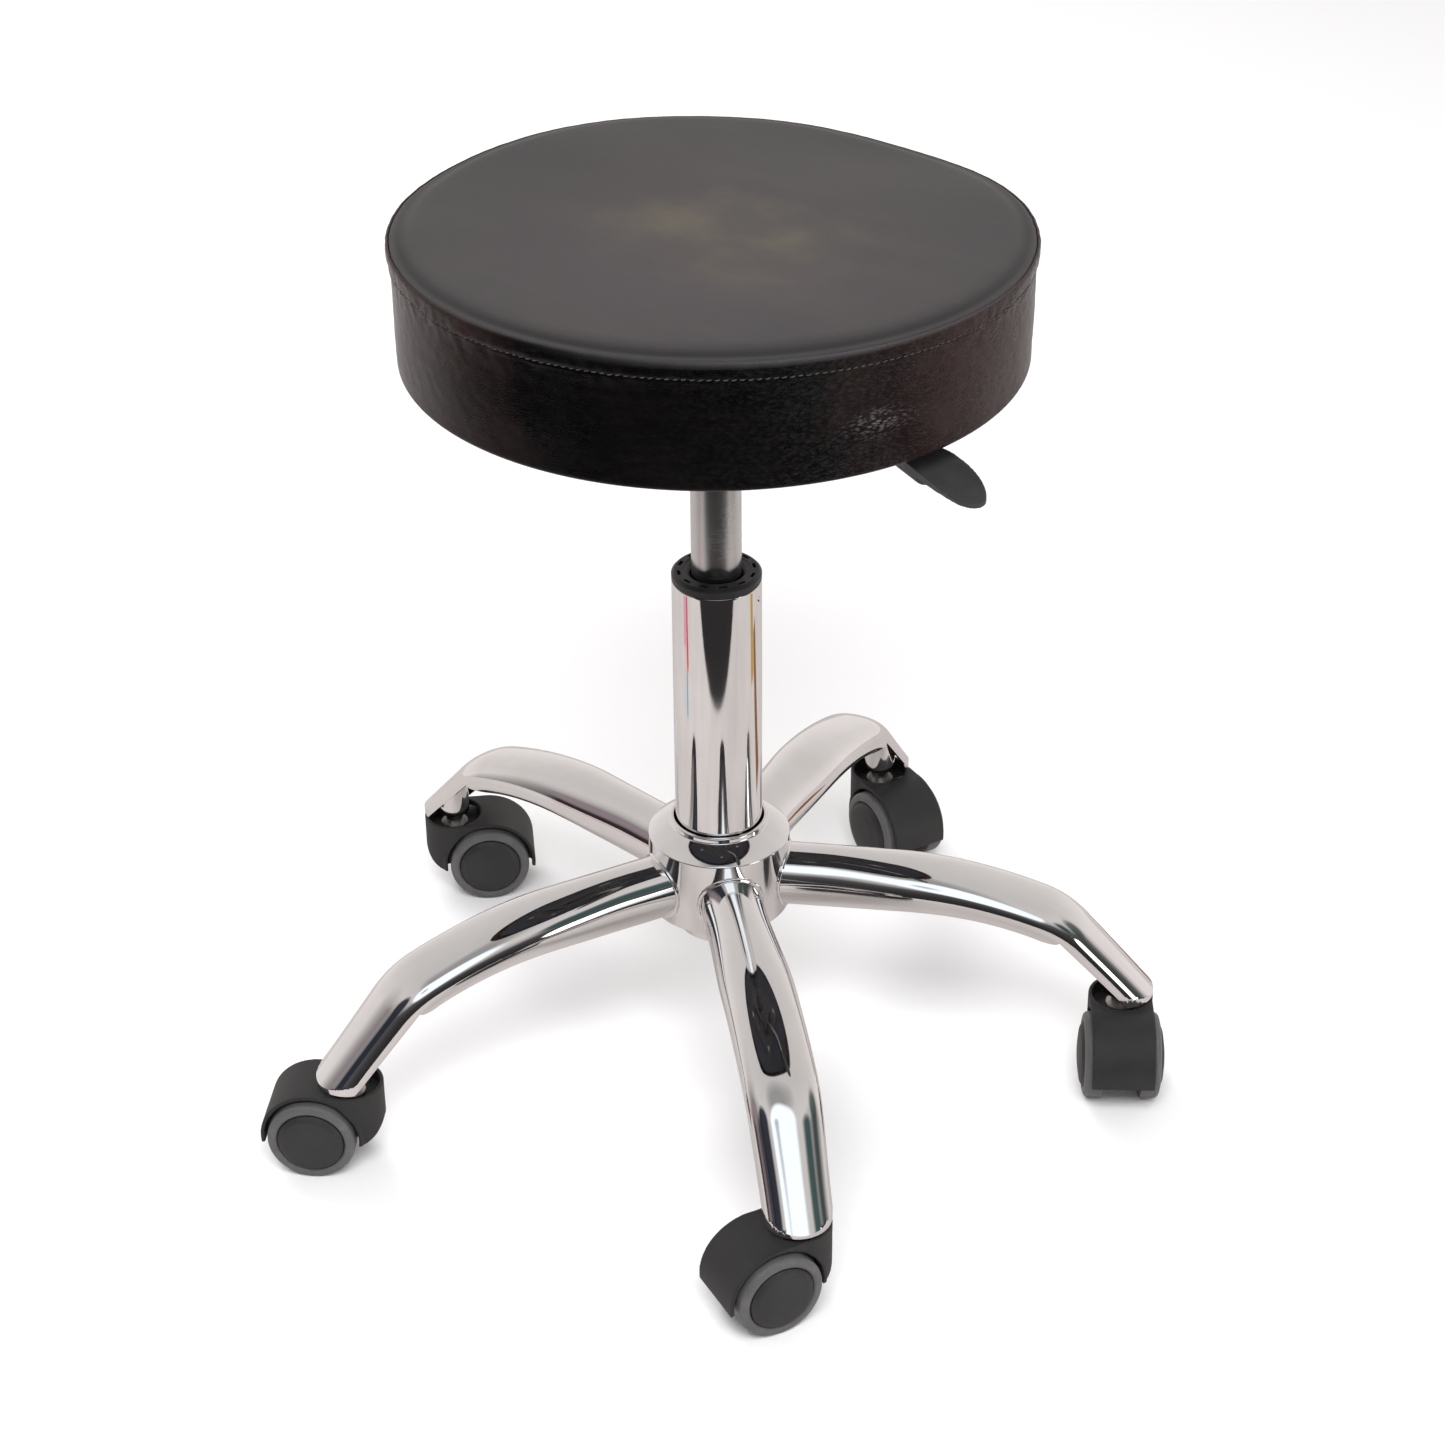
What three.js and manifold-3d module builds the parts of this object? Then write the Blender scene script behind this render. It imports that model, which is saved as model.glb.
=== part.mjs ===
// Adjustable swivel stool: a round padded seat on a gas lift, a five-legged tube base and
// twin-wheel casters. Millimetres, +Z up. The column's axis is Z and the floor is z = 0.
// The release lever points along +X.
import * as THREE from 'three';
import { mergeVertices } from 'three/addons/utils/BufferGeometryUtils.js';
import Module from 'manifold-3d';

const wasm = await Module();
wasm.setup();

const { PI, sin, cos } = Math;
const radians = THREE.MathUtils.degToRad;

// --- driving dimensions ---------------------------------------------------------------

const GAP = 0.3; // between pieces that touch
const SEGMENTS = 24; // round a turned piece
const SEAT_SEGMENTS = 40;
const WHEEL_SEGMENTS = 20;
const PIN_SEGMENTS = 14; // round a small pin or rod

const SEAT_RADIUS = 168.5; // over the side band's doubled top edge
const BAND_RADIUS = 166.7; // of the side band, below that edge
const STITCH_Z = 515; // lower end of the doubled edge
const SHOULDER_RADIUS = 4.5; // the side band turns over the corner
const SEAM_RADIUS = 163.7; // where the top panel meets the side band
const SEAM_Z = 520.3;
const CROWN_Z = 526.5; // of the seat's flat middle
const CROWN_FLAT = 60; // radius of that middle
const SEAT_BOTTOM_Z = 454;
const COVER_THICKNESS = 1.4;
const BOARD_THICKNESS = 12;
const BOARD_RADIUS = 159.8;

const COLUMN_RADIUS = 25;
const COLUMN_WALL = 1.5;
const COLUMN_BOTTOM_Z = 86;
const COLUMN_TOP_Z = 315.3; // where the guide bush's rim sits
const COLUMN_TAPER_Z = 160; // the column narrows a little below this height
const COLUMN_FOOT_RADIUS = 24;
const COLUMN_FLOOR = 4;
const BUSH_RIM = 5.5;

const TUBE_RADIUS = 14; // of the gas spring's pressure tube
const TUBE_WALL = 2;
const TUBE_BOTTOM_Z = 200;
const TUBE_TOP_Z = 440;
const TUBE_TAPER_Z = 404;
const TUBE_TOP_RADIUS = 13.3;
const ROD_RADIUS = 5; // of the gas spring's piston rod

const HUB_RADIUS = 40.9;
const HUB_BOTTOM_Z = 103;
const HUB_SHOULDER_Z = 149.5; // where the cone meets the wall
const HUB_TOP_Z = 160.5;
const HUB_WALL = 2.5;

const LEG_COUNT = 5;
const FIRST_LEG_AZIMUTH = -44; // degrees round from +X
const LEG_AXIS_Z = 122.5; // height of a leg's level part
const LEG_STRAIGHT_END = 106; // distance from the column's axis
const LEG_BOW_RADIUS = 235;
const LEG_BOW_ANGLE = 20;
const LEG_BEND_RADIUS = 50;
const LEG_TIP_ANGLE = 48; // slope of the leg's last stretch
const LEG_WALL = 2;
const LEG_TRIM_Z = 57; // a leg ends at this height
const STEM_CIRCLE = 236.7; // distance of the casters' stems from the column's axis
const NOSE_RADIUS = 18.7; // a leg's rounded end, about the stem
const BOSS_RADIUS = 9.75;

const CASTER_HEADINGS = [-116, -56, -24, 42, -149]; // direction in which each caster trails
const WHEEL_RADIUS = 25;
const CASTER_TRAIL = 20.7; // from the stem to the axle
const CUP_RADIUS = 18.8;
const CUP_TOP_Z = 54.4;
const CUP_FLOOR_Z = 46;
const HOOD_HALF_WIDTH = 18.2;
const HOOD_RADIUS = 29.3; // outside of the fender, about the axle
const HOOD_CLEARANCE = 2; // between the fender and the tread
const HOOD_BOTTOM_Z = 21;
const WEB_HALF_WIDTH = 9.6; // of the hood's middle, between the wheels
const STEM_RADIUS = 5.5;
const AXLE_RADIUS = 4;
const WHEEL_INNER = 10.7; // distance of a wheel's inner face from the middle of the caster
const TREAD_OUTER = 21.8;
const WHEEL_CORE_RADIUS = 19.1;
const CAP_OUTER = 25.4; // crown of the wheel's domed cap

const PLATE_SIZE = 150;
const PLATE_THICKNESS = 2.5;
const PAN_LENGTH = 100; // along X
const PAN_WIDTH = 72;
const PAN_BOTTOM_Z = 428;
const SOCKET_RADIUS = 17.5;
const SOCKET_BOTTOM_Z = 408;
const BOLT_OFFSET = 62;

const LEVER_ROD_RADIUS = 3.5;
const LEVER_ROD_Z = 447.5;
const LEVER_BEND_X = 95.5;
const LEVER_ANGLE = -26.8; // turn of the lever's outer part, degrees from +X
const PADDLE_TOP_Z = 443.5;
const PADDLE_THICKNESS = 5;

// --- materials ------------------------------------------------------------------------

const chrome = { color: 0xd9d6d2, roughness: 0.08, metalness: 1 };
const brushedChrome = { color: 0xb8b8b6, roughness: 0.3, metalness: 1 };
const steel = { color: 0x8f9092, roughness: 0.4, metalness: 1 };
const blackSteel = { color: 0x1b1b1c, roughness: 0.5, metalness: 0.4 };
const blackPlastic = { color: 0x2c2b2b, roughness: 0.55, metalness: 0 };
const hoodPlastic = { color: 0x313030, roughness: 0.6, metalness: 0 };
const capPlastic = { color: 0x343333, roughness: 0.45, metalness: 0 };
const greyRubber = { color: 0x5a5857, roughness: 0.4, metalness: 0 };
const rubber = { color: 0x161616, roughness: 0.8, metalness: 0 };
const topVinyl = { color: 0x4a4541, roughness: 0.6, metalness: 0 };
const bandVinyl = { color: 0x1f1b1a, roughness: 0.42, metalness: 0 };
const foam = { color: 0xd9cfa4, roughness: 0.95, metalness: 0 };
const plywood = { color: 0x1f2229, roughness: 0.7, metalness: 0 };

// --- helpers --------------------------------------------------------------------------

const stool = new THREE.Group();

function place(parent, name, geometry, material) {
  const mesh = new THREE.Mesh(geometry, new THREE.MeshStandardMaterial(material));
  mesh.name = name;
  parent.add(mesh);
  return mesh;
}

// A profile of [radius, z] pairs turned about Z, listed from the bottom up on its outside.
function turned(profile, segments = SEGMENTS) {
  const points = profile.map(([radius, z]) => new THREE.Vector2(radius, z));
  return new THREE.LatheGeometry(points, segments).rotateX(PI / 2);
}

// The same for a ring: its outline closes on itself.
function turnedRing(profile, segments = SEGMENTS) {
  return turned([...profile, profile[0]], segments);
}

function toSolid(geometry) {
  const shell = geometry.clone();
  shell.deleteAttribute('normal');
  shell.deleteAttribute('uv');
  const merged = mergeVertices(shell, 1e-4);
  const corners = [];
  const index = merged.index.array;
  for (let i = 0; i < index.length; i += 3) {
    const [a, b, c] = [index[i], index[i + 1], index[i + 2]];
    if (a !== b && b !== c && c !== a) {
      corners.push(a, b, c);
    }
  }
  const vertProperties = new Float32Array(merged.attributes.position.array);
  const triVerts = new Uint32Array(corners);
  return new wasm.Manifold(new wasm.Mesh({ numProp: 3, vertProperties, triVerts }));
}

function toGeometry(solid) {
  const mesh = solid.getMesh();
  const geometry = new THREE.BufferGeometry();
  const positions = new THREE.BufferAttribute(new Float32Array(mesh.vertProperties), 3);
  geometry.setAttribute('position', positions);
  geometry.setIndex(new THREE.BufferAttribute(new Uint32Array(mesh.triVerts), 1));
  geometry.computeVertexNormals();
  return geometry;
}

function boxSolid(sizeX, sizeY, sizeZ, x, y, z) {
  return toSolid(new THREE.BoxGeometry(sizeX, sizeY, sizeZ).translate(x, y, z));
}

// A cylinder about Z between two heights, standing at x, y.
function postSolid(radius, bottom, top, x = 0, y = 0, segments = SEGMENTS) {
  const post = new THREE.CylinderGeometry(radius, radius, top - bottom, segments);
  return toSolid(post.rotateX(PI / 2).translate(x, y, (top + bottom) / 2));
}

// A cylinder along Y through the caster's axle.
function axleSolid(radius, from, to, segments = SEGMENTS) {
  const drum = new THREE.CylinderGeometry(radius, radius, to - from, segments);
  return toSolid(drum.translate(CASTER_TRAIL, (from + to) / 2, WHEEL_RADIUS));
}

// --- base -----------------------------------------------------------------------------

function hub() {
  const sleeve = COLUMN_RADIUS + GAP;
  const sleeveFoot = COLUMN_FOOT_RADIUS + GAP + 0.2;
  const sleeveBottom = 96;
  const lip = 2.4;
  const profile = [
    [sleeveFoot, sleeveBottom],
    [sleeve + HUB_WALL, sleeveBottom],
    [sleeve + HUB_WALL, HUB_TOP_Z - 8],
    [HUB_RADIUS - HUB_WALL, HUB_SHOULDER_Z - 2],
    [HUB_RADIUS - HUB_WALL, HUB_BOTTOM_Z],
    [HUB_RADIUS, HUB_BOTTOM_Z],
    [HUB_RADIUS, HUB_SHOULDER_Z],
    [sleeve + lip + 0.5, HUB_TOP_Z - 3],
    [sleeve + lip, HUB_TOP_Z - 0.6],
    [sleeve + lip - 0.6, HUB_TOP_Z],
    [sleeve, HUB_TOP_Z],
  ];
  return turnedRing(profile);
}

// The leg's centre line in its own vertical plane: level, a long bow, a bend, then straight.
function legPath() {
  const bow = radians(LEG_BOW_ANGLE);
  const tip = radians(LEG_TIP_ANGLE);
  const bowEnd = new THREE.Vector2(
    LEG_STRAIGHT_END + LEG_BOW_RADIUS * sin(bow),
    LEG_AXIS_Z - LEG_BOW_RADIUS * (1 - cos(bow)),
  );
  const bendCentre = new THREE.Vector2(
    bowEnd.x - LEG_BEND_RADIUS * sin(bow),
    bowEnd.y - LEG_BEND_RADIUS * cos(bow),
  );
  const lastStretch = 62;
  const bendEnd = new THREE.Vector2(
    bendCentre.x + LEG_BEND_RADIUS * sin(tip),
    bendCentre.y + LEG_BEND_RADIUS * cos(tip),
  );
  const path = new THREE.Path();
  path.moveTo(HUB_RADIUS - 8, LEG_AXIS_Z);
  path.lineTo(LEG_STRAIGHT_END, LEG_AXIS_Z);
  path.absarc(
    LEG_STRAIGHT_END, LEG_AXIS_Z - LEG_BOW_RADIUS, LEG_BOW_RADIUS, PI / 2, PI / 2 - bow, true,
  );
  path.absarc(bendCentre.x, bendCentre.y, LEG_BEND_RADIUS, PI / 2 - bow, PI / 2 - tip, true);
  path.lineTo(bendEnd.x + lastStretch * cos(tip), bendEnd.y - lastStretch * sin(tip));
  return path;
}

// Half width and half height of the pressed tube at a distance from the column's axis.
function legSection(distance) {
  const widening = THREE.MathUtils.smoothstep(distance, 60, 125);
  const narrowing = THREE.MathUtils.smoothstep(distance, 185, 240);
  const flattening = THREE.MathUtils.smoothstep(distance, 55, 190);
  return {
    halfWidth: 18.2 + 2.5 * widening - 1.8 * narrowing,
    halfHeight: 18.2 - 5.8 * flattening,
  };
}

// A tube's solid: a cylinder bent along the leg's path, with its section drawn in by inset.
function legTube(path, inset, around, along) {
  const tube = new THREE.CylinderGeometry(1, 1, 1, around, along);
  const position = tube.attributes.position;
  for (let i = 0; i < position.count; i += 1) {
    const station = 0.5 - position.getY(i);
    const centre = path.getPointAt(station);
    const direction = path.getTangentAt(station);
    const section = legSection(centre.x);
    const across = position.getX(i) * (section.halfWidth - inset);
    const up = position.getZ(i) * (section.halfHeight - inset);
    position.setXYZ(i, centre.x - direction.y * up, across, centre.y + direction.x * up);
  }
  return toSolid(tube);
}

// Everything inward of the stem, with a round end about it.
function noseLimit(radius) {
  const inner = boxSolid(STEM_CIRCLE, 80, 200, STEM_CIRCLE / 2, 0, 100);
  return inner.add(postSolid(radius, 0, 200, STEM_CIRCLE, 0));
}

// The open mouth under the leg's tip: a round-ended slot in a plane that slopes with the leg.
function mouthCutter() {
  const slope = radians(46.3);
  const halfWidth = 20.9;
  const reach = 90;
  const depth = 45;
  const outline = new THREE.Shape();
  outline.moveTo(reach, -halfWidth);
  outline.lineTo(reach, halfWidth);
  outline.lineTo(0, halfWidth);
  outline.absarc(0, 0, halfWidth, PI / 2, (3 * PI) / 2, false);
  outline.lineTo(reach, -halfWidth);
  const slab = new THREE.ExtrudeGeometry(outline, {
    depth, bevelEnabled: false, curveSegments: 5,
  });
  slab.translate(0, 0, -depth);
  slab.rotateY(slope);
  slab.translate(203, 0, 97);
  return toSolid(slab);
}

function leg() {
  const path = legPath();
  const outer = legTube(path, 0, 14, 12).intersect(noseLimit(NOSE_RADIUS));
  const inner = legTube(path, LEG_WALL, 8, 7).intersect(noseLimit(NOSE_RADIUS - LEG_WALL));
  const cope = postSolid((HUB_RADIUS + GAP) / cos(PI / SEGMENTS), 60, 200);
  const trim = boxSolid(200, 80, LEG_TRIM_Z, 200, 0, LEG_TRIM_Z / 2);
  const boss = postSolid(BOSS_RADIUS, LEG_TRIM_Z, 100, STEM_CIRCLE, 0, PIN_SEGMENTS);
  const bore = postSolid(STEM_RADIUS + GAP, 50, 73, STEM_CIRCLE, 0, PIN_SEGMENTS);
  const shell = outer.subtract(inner).subtract(mouthCutter()).subtract(trim);
  return toGeometry(shell.add(boss.intersect(outer)).subtract(bore).subtract(cope));
}

function column() {
  const inside = COLUMN_RADIUS - COLUMN_WALL;
  const profile = [
    [ROD_RADIUS + GAP, COLUMN_BOTTOM_Z],
    [COLUMN_FOOT_RADIUS - 1, COLUMN_BOTTOM_Z],
    [COLUMN_FOOT_RADIUS, COLUMN_BOTTOM_Z + 1.5],
    [COLUMN_RADIUS, COLUMN_TAPER_Z],
    [COLUMN_RADIUS, COLUMN_TOP_Z - GAP],
    [inside, COLUMN_TOP_Z - GAP],
    [inside, COLUMN_TAPER_Z],
    [COLUMN_FOOT_RADIUS - COLUMN_WALL, COLUMN_BOTTOM_Z + COLUMN_FLOOR],
    [ROD_RADIUS + GAP, COLUMN_BOTTOM_Z + COLUMN_FLOOR],
  ];
  return turnedRing(profile);
}

// Plastic bush in the column's mouth, with moulded slots round its rim.
function guideBush() {
  const top = COLUMN_TOP_Z + BUSH_RIM;
  const skirt = COLUMN_RADIUS - COLUMN_WALL - GAP;
  const bore = TUBE_RADIUS + 0.7;
  const bottom = COLUMN_TOP_Z - 60;
  const body = turnedRing([
    [bore, bottom],
    [skirt, bottom],
    [skirt, COLUMN_TOP_Z],
    [COLUMN_RADIUS, COLUMN_TOP_Z],
    [COLUMN_RADIUS, top - 1],
    [COLUMN_RADIUS - 1, top],
    [bore + 1, top],
    [bore, top - 1],
  ]);
  const slotCount = 12;
  const slotRadius = 21;
  const firstSlot = radians(16.5);
  let solid = toSolid(body);
  for (let i = 0; i < slotCount; i += 1) {
    const angle = firstSlot + (i * 2 * PI) / slotCount;
    const slot = new THREE.BoxGeometry(1.5, 4.6, 5).translate(slotRadius, 0, top);
    solid = solid.subtract(toSolid(slot.rotateZ(angle)));
  }
  return toGeometry(solid);
}

function thrustBearing() {
  const bottom = COLUMN_BOTTOM_Z + COLUMN_FLOOR + GAP;
  const height = 6;
  const bore = ROD_RADIUS + 0.5;
  const raceRadius = 14;
  const profile = [
    [bore, bottom],
    [raceRadius, bottom],
    [raceRadius, bottom + 2],
    [raceRadius - 1.5, bottom + 2],
    [raceRadius - 1.5, bottom + height - 2],
    [raceRadius, bottom + height - 2],
    [raceRadius, bottom + height],
    [bore, bottom + height],
  ];
  return turnedRing(profile, 20);
}

// --- gas spring -----------------------------------------------------------------------

const ROD_FLANGE_Z = COLUMN_BOTTOM_Z + COLUMN_FLOOR + 6 + 2 * GAP;
const CLIP_Z = COLUMN_BOTTOM_Z - 2;
const VALVE_Z = TUBE_TOP_Z - 16; // floor of the valve's bore
const BUTTON_RADIUS = 3;

function pistonRod() {
  const groove = ROD_RADIUS - 1;
  const flange = 9;
  const piston = TUBE_RADIUS - TUBE_WALL - GAP;
  const pistonZ = 278;
  const profile = [
    [0, CLIP_Z - 4],
    [ROD_RADIUS, CLIP_Z - 4],
    [ROD_RADIUS, CLIP_Z - GAP],
    [groove, CLIP_Z - GAP],
    [groove, CLIP_Z + 1.2 + GAP],
    [ROD_RADIUS, CLIP_Z + 1.2 + GAP],
    [ROD_RADIUS, ROD_FLANGE_Z],
    [flange, ROD_FLANGE_Z],
    [flange, ROD_FLANGE_Z + 2],
    [ROD_RADIUS, ROD_FLANGE_Z + 2],
    [ROD_RADIUS, pistonZ],
    [piston, pistonZ],
    [piston, pistonZ + 14],
    [0, pistonZ + 14],
  ];
  return turned(profile, PIN_SEGMENTS);
}

// Open ring that snaps into the rod's groove under the column.
function retainingClip() {
  const inside = ROD_RADIUS - 1 + GAP;
  const outside = 9;
  const mouth = radians(35);
  const outline = new THREE.Shape();
  outline.absarc(0, 0, outside, mouth, 2 * PI - mouth, false);
  outline.absarc(0, 0, inside, 2 * PI - mouth, mouth, true);
  const ring = new THREE.ExtrudeGeometry(outline, {
    depth: 1.2, bevelEnabled: false, curveSegments: 12,
  });
  return ring.translate(0, 0, CLIP_Z);
}

function bumpStop() {
  const bottom = ROD_FLANGE_Z + 2 + GAP;
  const profile = [
    [ROD_RADIUS + GAP, bottom],
    [10.5, bottom],
    [11.5, bottom + 4],
    [9.5, bottom + 14],
    [ROD_RADIUS + GAP, bottom + 14],
  ];
  return turnedRing(profile, PIN_SEGMENTS);
}

// Pressure tube: open round the rod at the bottom, with the valve's bore at the top.
function gasCylinder() {
  const inside = TUBE_RADIUS - TUBE_WALL;
  const valveBore = BUTTON_RADIUS + GAP;
  const rodHole = ROD_RADIUS + GAP;
  const chamberTop = VALVE_Z - 6;
  const profile = [
    [0, chamberTop],
    [inside, chamberTop],
    [inside, TUBE_BOTTOM_Z + 12],
    [rodHole, TUBE_BOTTOM_Z + 12],
    [rodHole, TUBE_BOTTOM_Z],
    [TUBE_RADIUS - 0.8, TUBE_BOTTOM_Z],
    [TUBE_RADIUS, TUBE_BOTTOM_Z + 1],
    [TUBE_RADIUS, TUBE_TAPER_Z],
    [TUBE_TOP_RADIUS, TUBE_TOP_Z],
    [valveBore, TUBE_TOP_Z],
    [valveBore, VALVE_Z],
    [0, VALVE_Z],
  ];
  return turned(profile);
}

function releaseButton() {
  const bottom = VALVE_Z + 4.6;
  const top = TUBE_TOP_Z + 3.5;
  const profile = [
    [0, bottom],
    [BUTTON_RADIUS, bottom],
    [BUTTON_RADIUS, top - 0.4],
    [BUTTON_RADIUS - 0.5, top],
    [0, top],
  ];
  return turned(profile, PIN_SEGMENTS);
}

// --- seat -----------------------------------------------------------------------------

const BOARD_Z = SEAT_BOTTOM_Z + COVER_THICKNESS + GAP;
const PLATE_TOP_Z = BOARD_Z - GAP;

// Height of the crowned top at a radius.
function crown(radius) {
  const out = Math.max(0, radius - CROWN_FLAT) / (SEAM_RADIUS - CROWN_FLAT);
  return CROWN_Z - (CROWN_Z - SEAM_Z) * out ** 2;
}

// The crowned top from the middle out to an edge, lowered by inset.
function crownCurve(edge, inset) {
  return [0, CROWN_FLAT, 115, edge].map((radius) => [radius, crown(radius) - inset]);
}

function seatTop() {
  const outside = crownCurve(SEAM_RADIUS, 0);
  const inside = crownCurve(SEAM_RADIUS, COVER_THICKNESS);
  return turned([...inside, ...outside.reverse()], SEAT_SEGMENTS);
}

// The side band's turn over the seat's corner, from the side up to the seam.
function shoulderCurve(inset) {
  const radius = SHOULDER_RADIUS - inset;
  return [0, 30, 60, 90].map((degrees) => [
    SEAT_RADIUS - SHOULDER_RADIUS + radius * cos(radians(degrees)),
    SEAM_Z - SHOULDER_RADIUS + radius * sin(radians(degrees)),
  ]);
}

// Side band: from the seam over the corner, down the side and in under the board's edge.
function seatBand() {
  const turn = 6;
  const hem = 146;
  const inner = BAND_RADIUS - COVER_THICKNESS;
  const profile = [
    [hem, SEAT_BOTTOM_Z],
    [BAND_RADIUS - turn, SEAT_BOTTOM_Z],
    [BAND_RADIUS, SEAT_BOTTOM_Z + turn],
    [BAND_RADIUS, STITCH_Z - 1],
    ...shoulderCurve(0),
    ...shoulderCurve(COVER_THICKNESS).reverse(),
    [inner, STITCH_Z - 1],
    [inner, SEAT_BOTTOM_Z + turn + COVER_THICKNESS / 2],
    [inner - turn + COVER_THICKNESS / 2, SEAT_BOTTOM_Z + COVER_THICKNESS],
    [hem, SEAT_BOTTOM_Z + COVER_THICKNESS],
  ];
  return turnedRing(profile, SEAT_SEGMENTS);
}

function seatFoam() {
  const skin = COVER_THICKNESS + 2 * GAP;
  const bottom = BOARD_Z + BOARD_THICKNESS + GAP;
  const shoulder = SEAT_RADIUS - SHOULDER_RADIUS;
  const profile = [
    [0, bottom],
    [BAND_RADIUS - skin, bottom],
    [BAND_RADIUS - skin, SEAM_Z - SHOULDER_RADIUS],
    [shoulder, SEAM_Z - 2 * skin],
    ...crownCurve(shoulder - 2 * skin, skin).reverse(),
  ];
  return turned(profile, SEAT_SEGMENTS);
}

function seatBoard() {
  const boltHole = 3 + GAP;
  let board = postSolid(BOARD_RADIUS, BOARD_Z, BOARD_Z + BOARD_THICKNESS, 0, 0, SEAT_SEGMENTS);
  for (const [x, y] of boltPlaces()) {
    board = board.subtract(postSolid(boltHole, BOARD_Z - 5, BOARD_Z + 9, x, y, 10));
  }
  return toGeometry(board);
}

function boltPlaces() {
  const places = [];
  for (const x of [-BOLT_OFFSET, BOLT_OFFSET]) {
    for (const y of [-BOLT_OFFSET, BOLT_OFFSET]) {
      places.push([x, y]);
    }
  }
  return places;
}

// Pressed steel plate with a pan that holds the gas spring's socket.
function seatPlate() {
  const flangeZ = PLATE_TOP_Z - PLATE_THICKNESS / 2;
  const panHeight = PLATE_TOP_Z - PAN_BOTTOM_Z;
  const panZ = PAN_BOTTOM_Z + panHeight / 2;
  const flange = boxSolid(PLATE_SIZE, PLATE_SIZE, PLATE_THICKNESS, 0, 0, flangeZ);
  const pan = boxSolid(PAN_LENGTH, PAN_WIDTH, panHeight, 0, 0, panZ);
  const hollow = boxSolid(
    PAN_LENGTH - 2 * PLATE_THICKNESS, PAN_WIDTH - 2 * PLATE_THICKNESS, panHeight,
    0, 0, panZ + PLATE_THICKNESS,
  );
  const socketTop = TUBE_TOP_Z - 1;
  const socket = postSolid(SOCKET_RADIUS, SOCKET_BOTTOM_Z, socketTop);
  const bore = toSolid(turned([
    [0, TUBE_TAPER_Z],
    [TUBE_RADIUS + GAP, TUBE_TAPER_Z],
    [TUBE_TOP_RADIUS + GAP, TUBE_TOP_Z],
    [0, TUBE_TOP_Z],
  ]));
  const leverSlot = boxSolid(10, 9, 11, PAN_LENGTH / 2, 0, LEVER_ROD_Z);
  let plate = flange.add(pan).subtract(hollow).add(socket).subtract(bore).subtract(leverSlot);
  for (const [x, y] of boltPlaces()) {
    const hole = postSolid(3 + GAP, PLATE_TOP_Z - 10, PLATE_TOP_Z + 10, x, y, 10);
    plate = plate.subtract(hole);
  }
  return toGeometry(plate);
}

// Screw with a domed head under the plate and its shank up in the board.
function plateBolt() {
  const headTop = PLATE_TOP_Z - PLATE_THICKNESS - GAP;
  const profile = [
    [0, headTop - 3.5],
    [3.5, headTop - 3],
    [6, headTop - 1],
    [6, headTop],
    [3, headTop],
    [3, BOARD_Z + 8],
    [0, BOARD_Z + 8],
  ];
  return turned(profile, 10);
}

// --- release lever --------------------------------------------------------------------

// Point on the lever's outer line, at a distance past its bend and to its left.
function leverPoint(along, side, z) {
  const turn = radians(LEVER_ANGLE);
  return new THREE.Vector3(
    LEVER_BEND_X + along * cos(turn) - side * sin(turn),
    along * sin(turn) + side * cos(turn),
    z,
  );
}

function leverRod() {
  const outerZ = PADDLE_TOP_Z - PADDLE_THICKNESS - 2;
  const route = new THREE.CurvePath();
  const knots = [
    new THREE.Vector3(-6, 0, LEVER_ROD_Z),
    new THREE.Vector3(58, 0, LEVER_ROD_Z),
    new THREE.Vector3(LEVER_BEND_X - 14, 0, outerZ + 3),
    leverPoint(14, 0, outerZ),
    leverPoint(66, 0, outerZ),
  ];
  route.add(new THREE.LineCurve3(knots[0], knots[1]));
  route.add(new THREE.LineCurve3(knots[1], knots[2]));
  const corner = new THREE.Vector3(LEVER_BEND_X, 0, outerZ + 1);
  route.add(new THREE.QuadraticBezierCurve3(knots[2], corner, knots[3]));
  route.add(new THREE.LineCurve3(knots[3], knots[4]));
  const section = new THREE.Shape();
  section.absarc(0, 0, LEVER_ROD_RADIUS, 0, 2 * PI, false);
  return new THREE.ExtrudeGeometry(section, {
    steps: 20, curveSegments: 5, bevelEnabled: false, extrudePath: route,
  });
}

// Flat moulded tongue with a sleeve under it that grips the rod.
function leverPaddle() {
  const sleeveRadius = 7;
  const sleeveZ = PADDLE_TOP_Z - PADDLE_THICKNESS - 2;
  const tongue = new THREE.Shape();
  tongue.moveTo(34, -7);
  tongue.lineTo(58, -10);
  tongue.bezierCurveTo(80, -14, 98, -12, 110, -9);
  tongue.bezierCurveTo(119, -7, 121, 0, 115, 5);
  tongue.bezierCurveTo(106, 12, 94, 17, 72, 18);
  tongue.lineTo(56, 16);
  tongue.lineTo(34, 7);
  tongue.lineTo(34, -7);
  const slab = new THREE.ExtrudeGeometry(tongue, {
    depth: PADDLE_THICKNESS, bevelEnabled: false, curveSegments: 6,
  });
  slab.translate(0, 0, PADDLE_TOP_Z - PADDLE_THICKNESS);
  const sleeve = new THREE.CylinderGeometry(sleeveRadius, sleeveRadius - 1, 52, 16);
  sleeve.rotateZ(PI / 2).translate(54, 0, sleeveZ);
  const bore = new THREE.CylinderGeometry(
    LEVER_ROD_RADIUS + GAP, LEVER_ROD_RADIUS + GAP, 50, 16,
  );
  bore.rotateZ(PI / 2).translate(66.5 + GAP - 25, 0, sleeveZ);
  const keepBelow = boxSolid(200, 60, 40, 60, 0, PADDLE_TOP_Z - 20);
  const body = toSolid(slab).add(toSolid(sleeve).intersect(keepBelow)).subtract(toSolid(bore));
  const geometry = toGeometry(body);
  return geometry.rotateZ(radians(LEVER_ANGLE)).translate(LEVER_BEND_X, 0, 0);
}

// --- casters --------------------------------------------------------------------------

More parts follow.
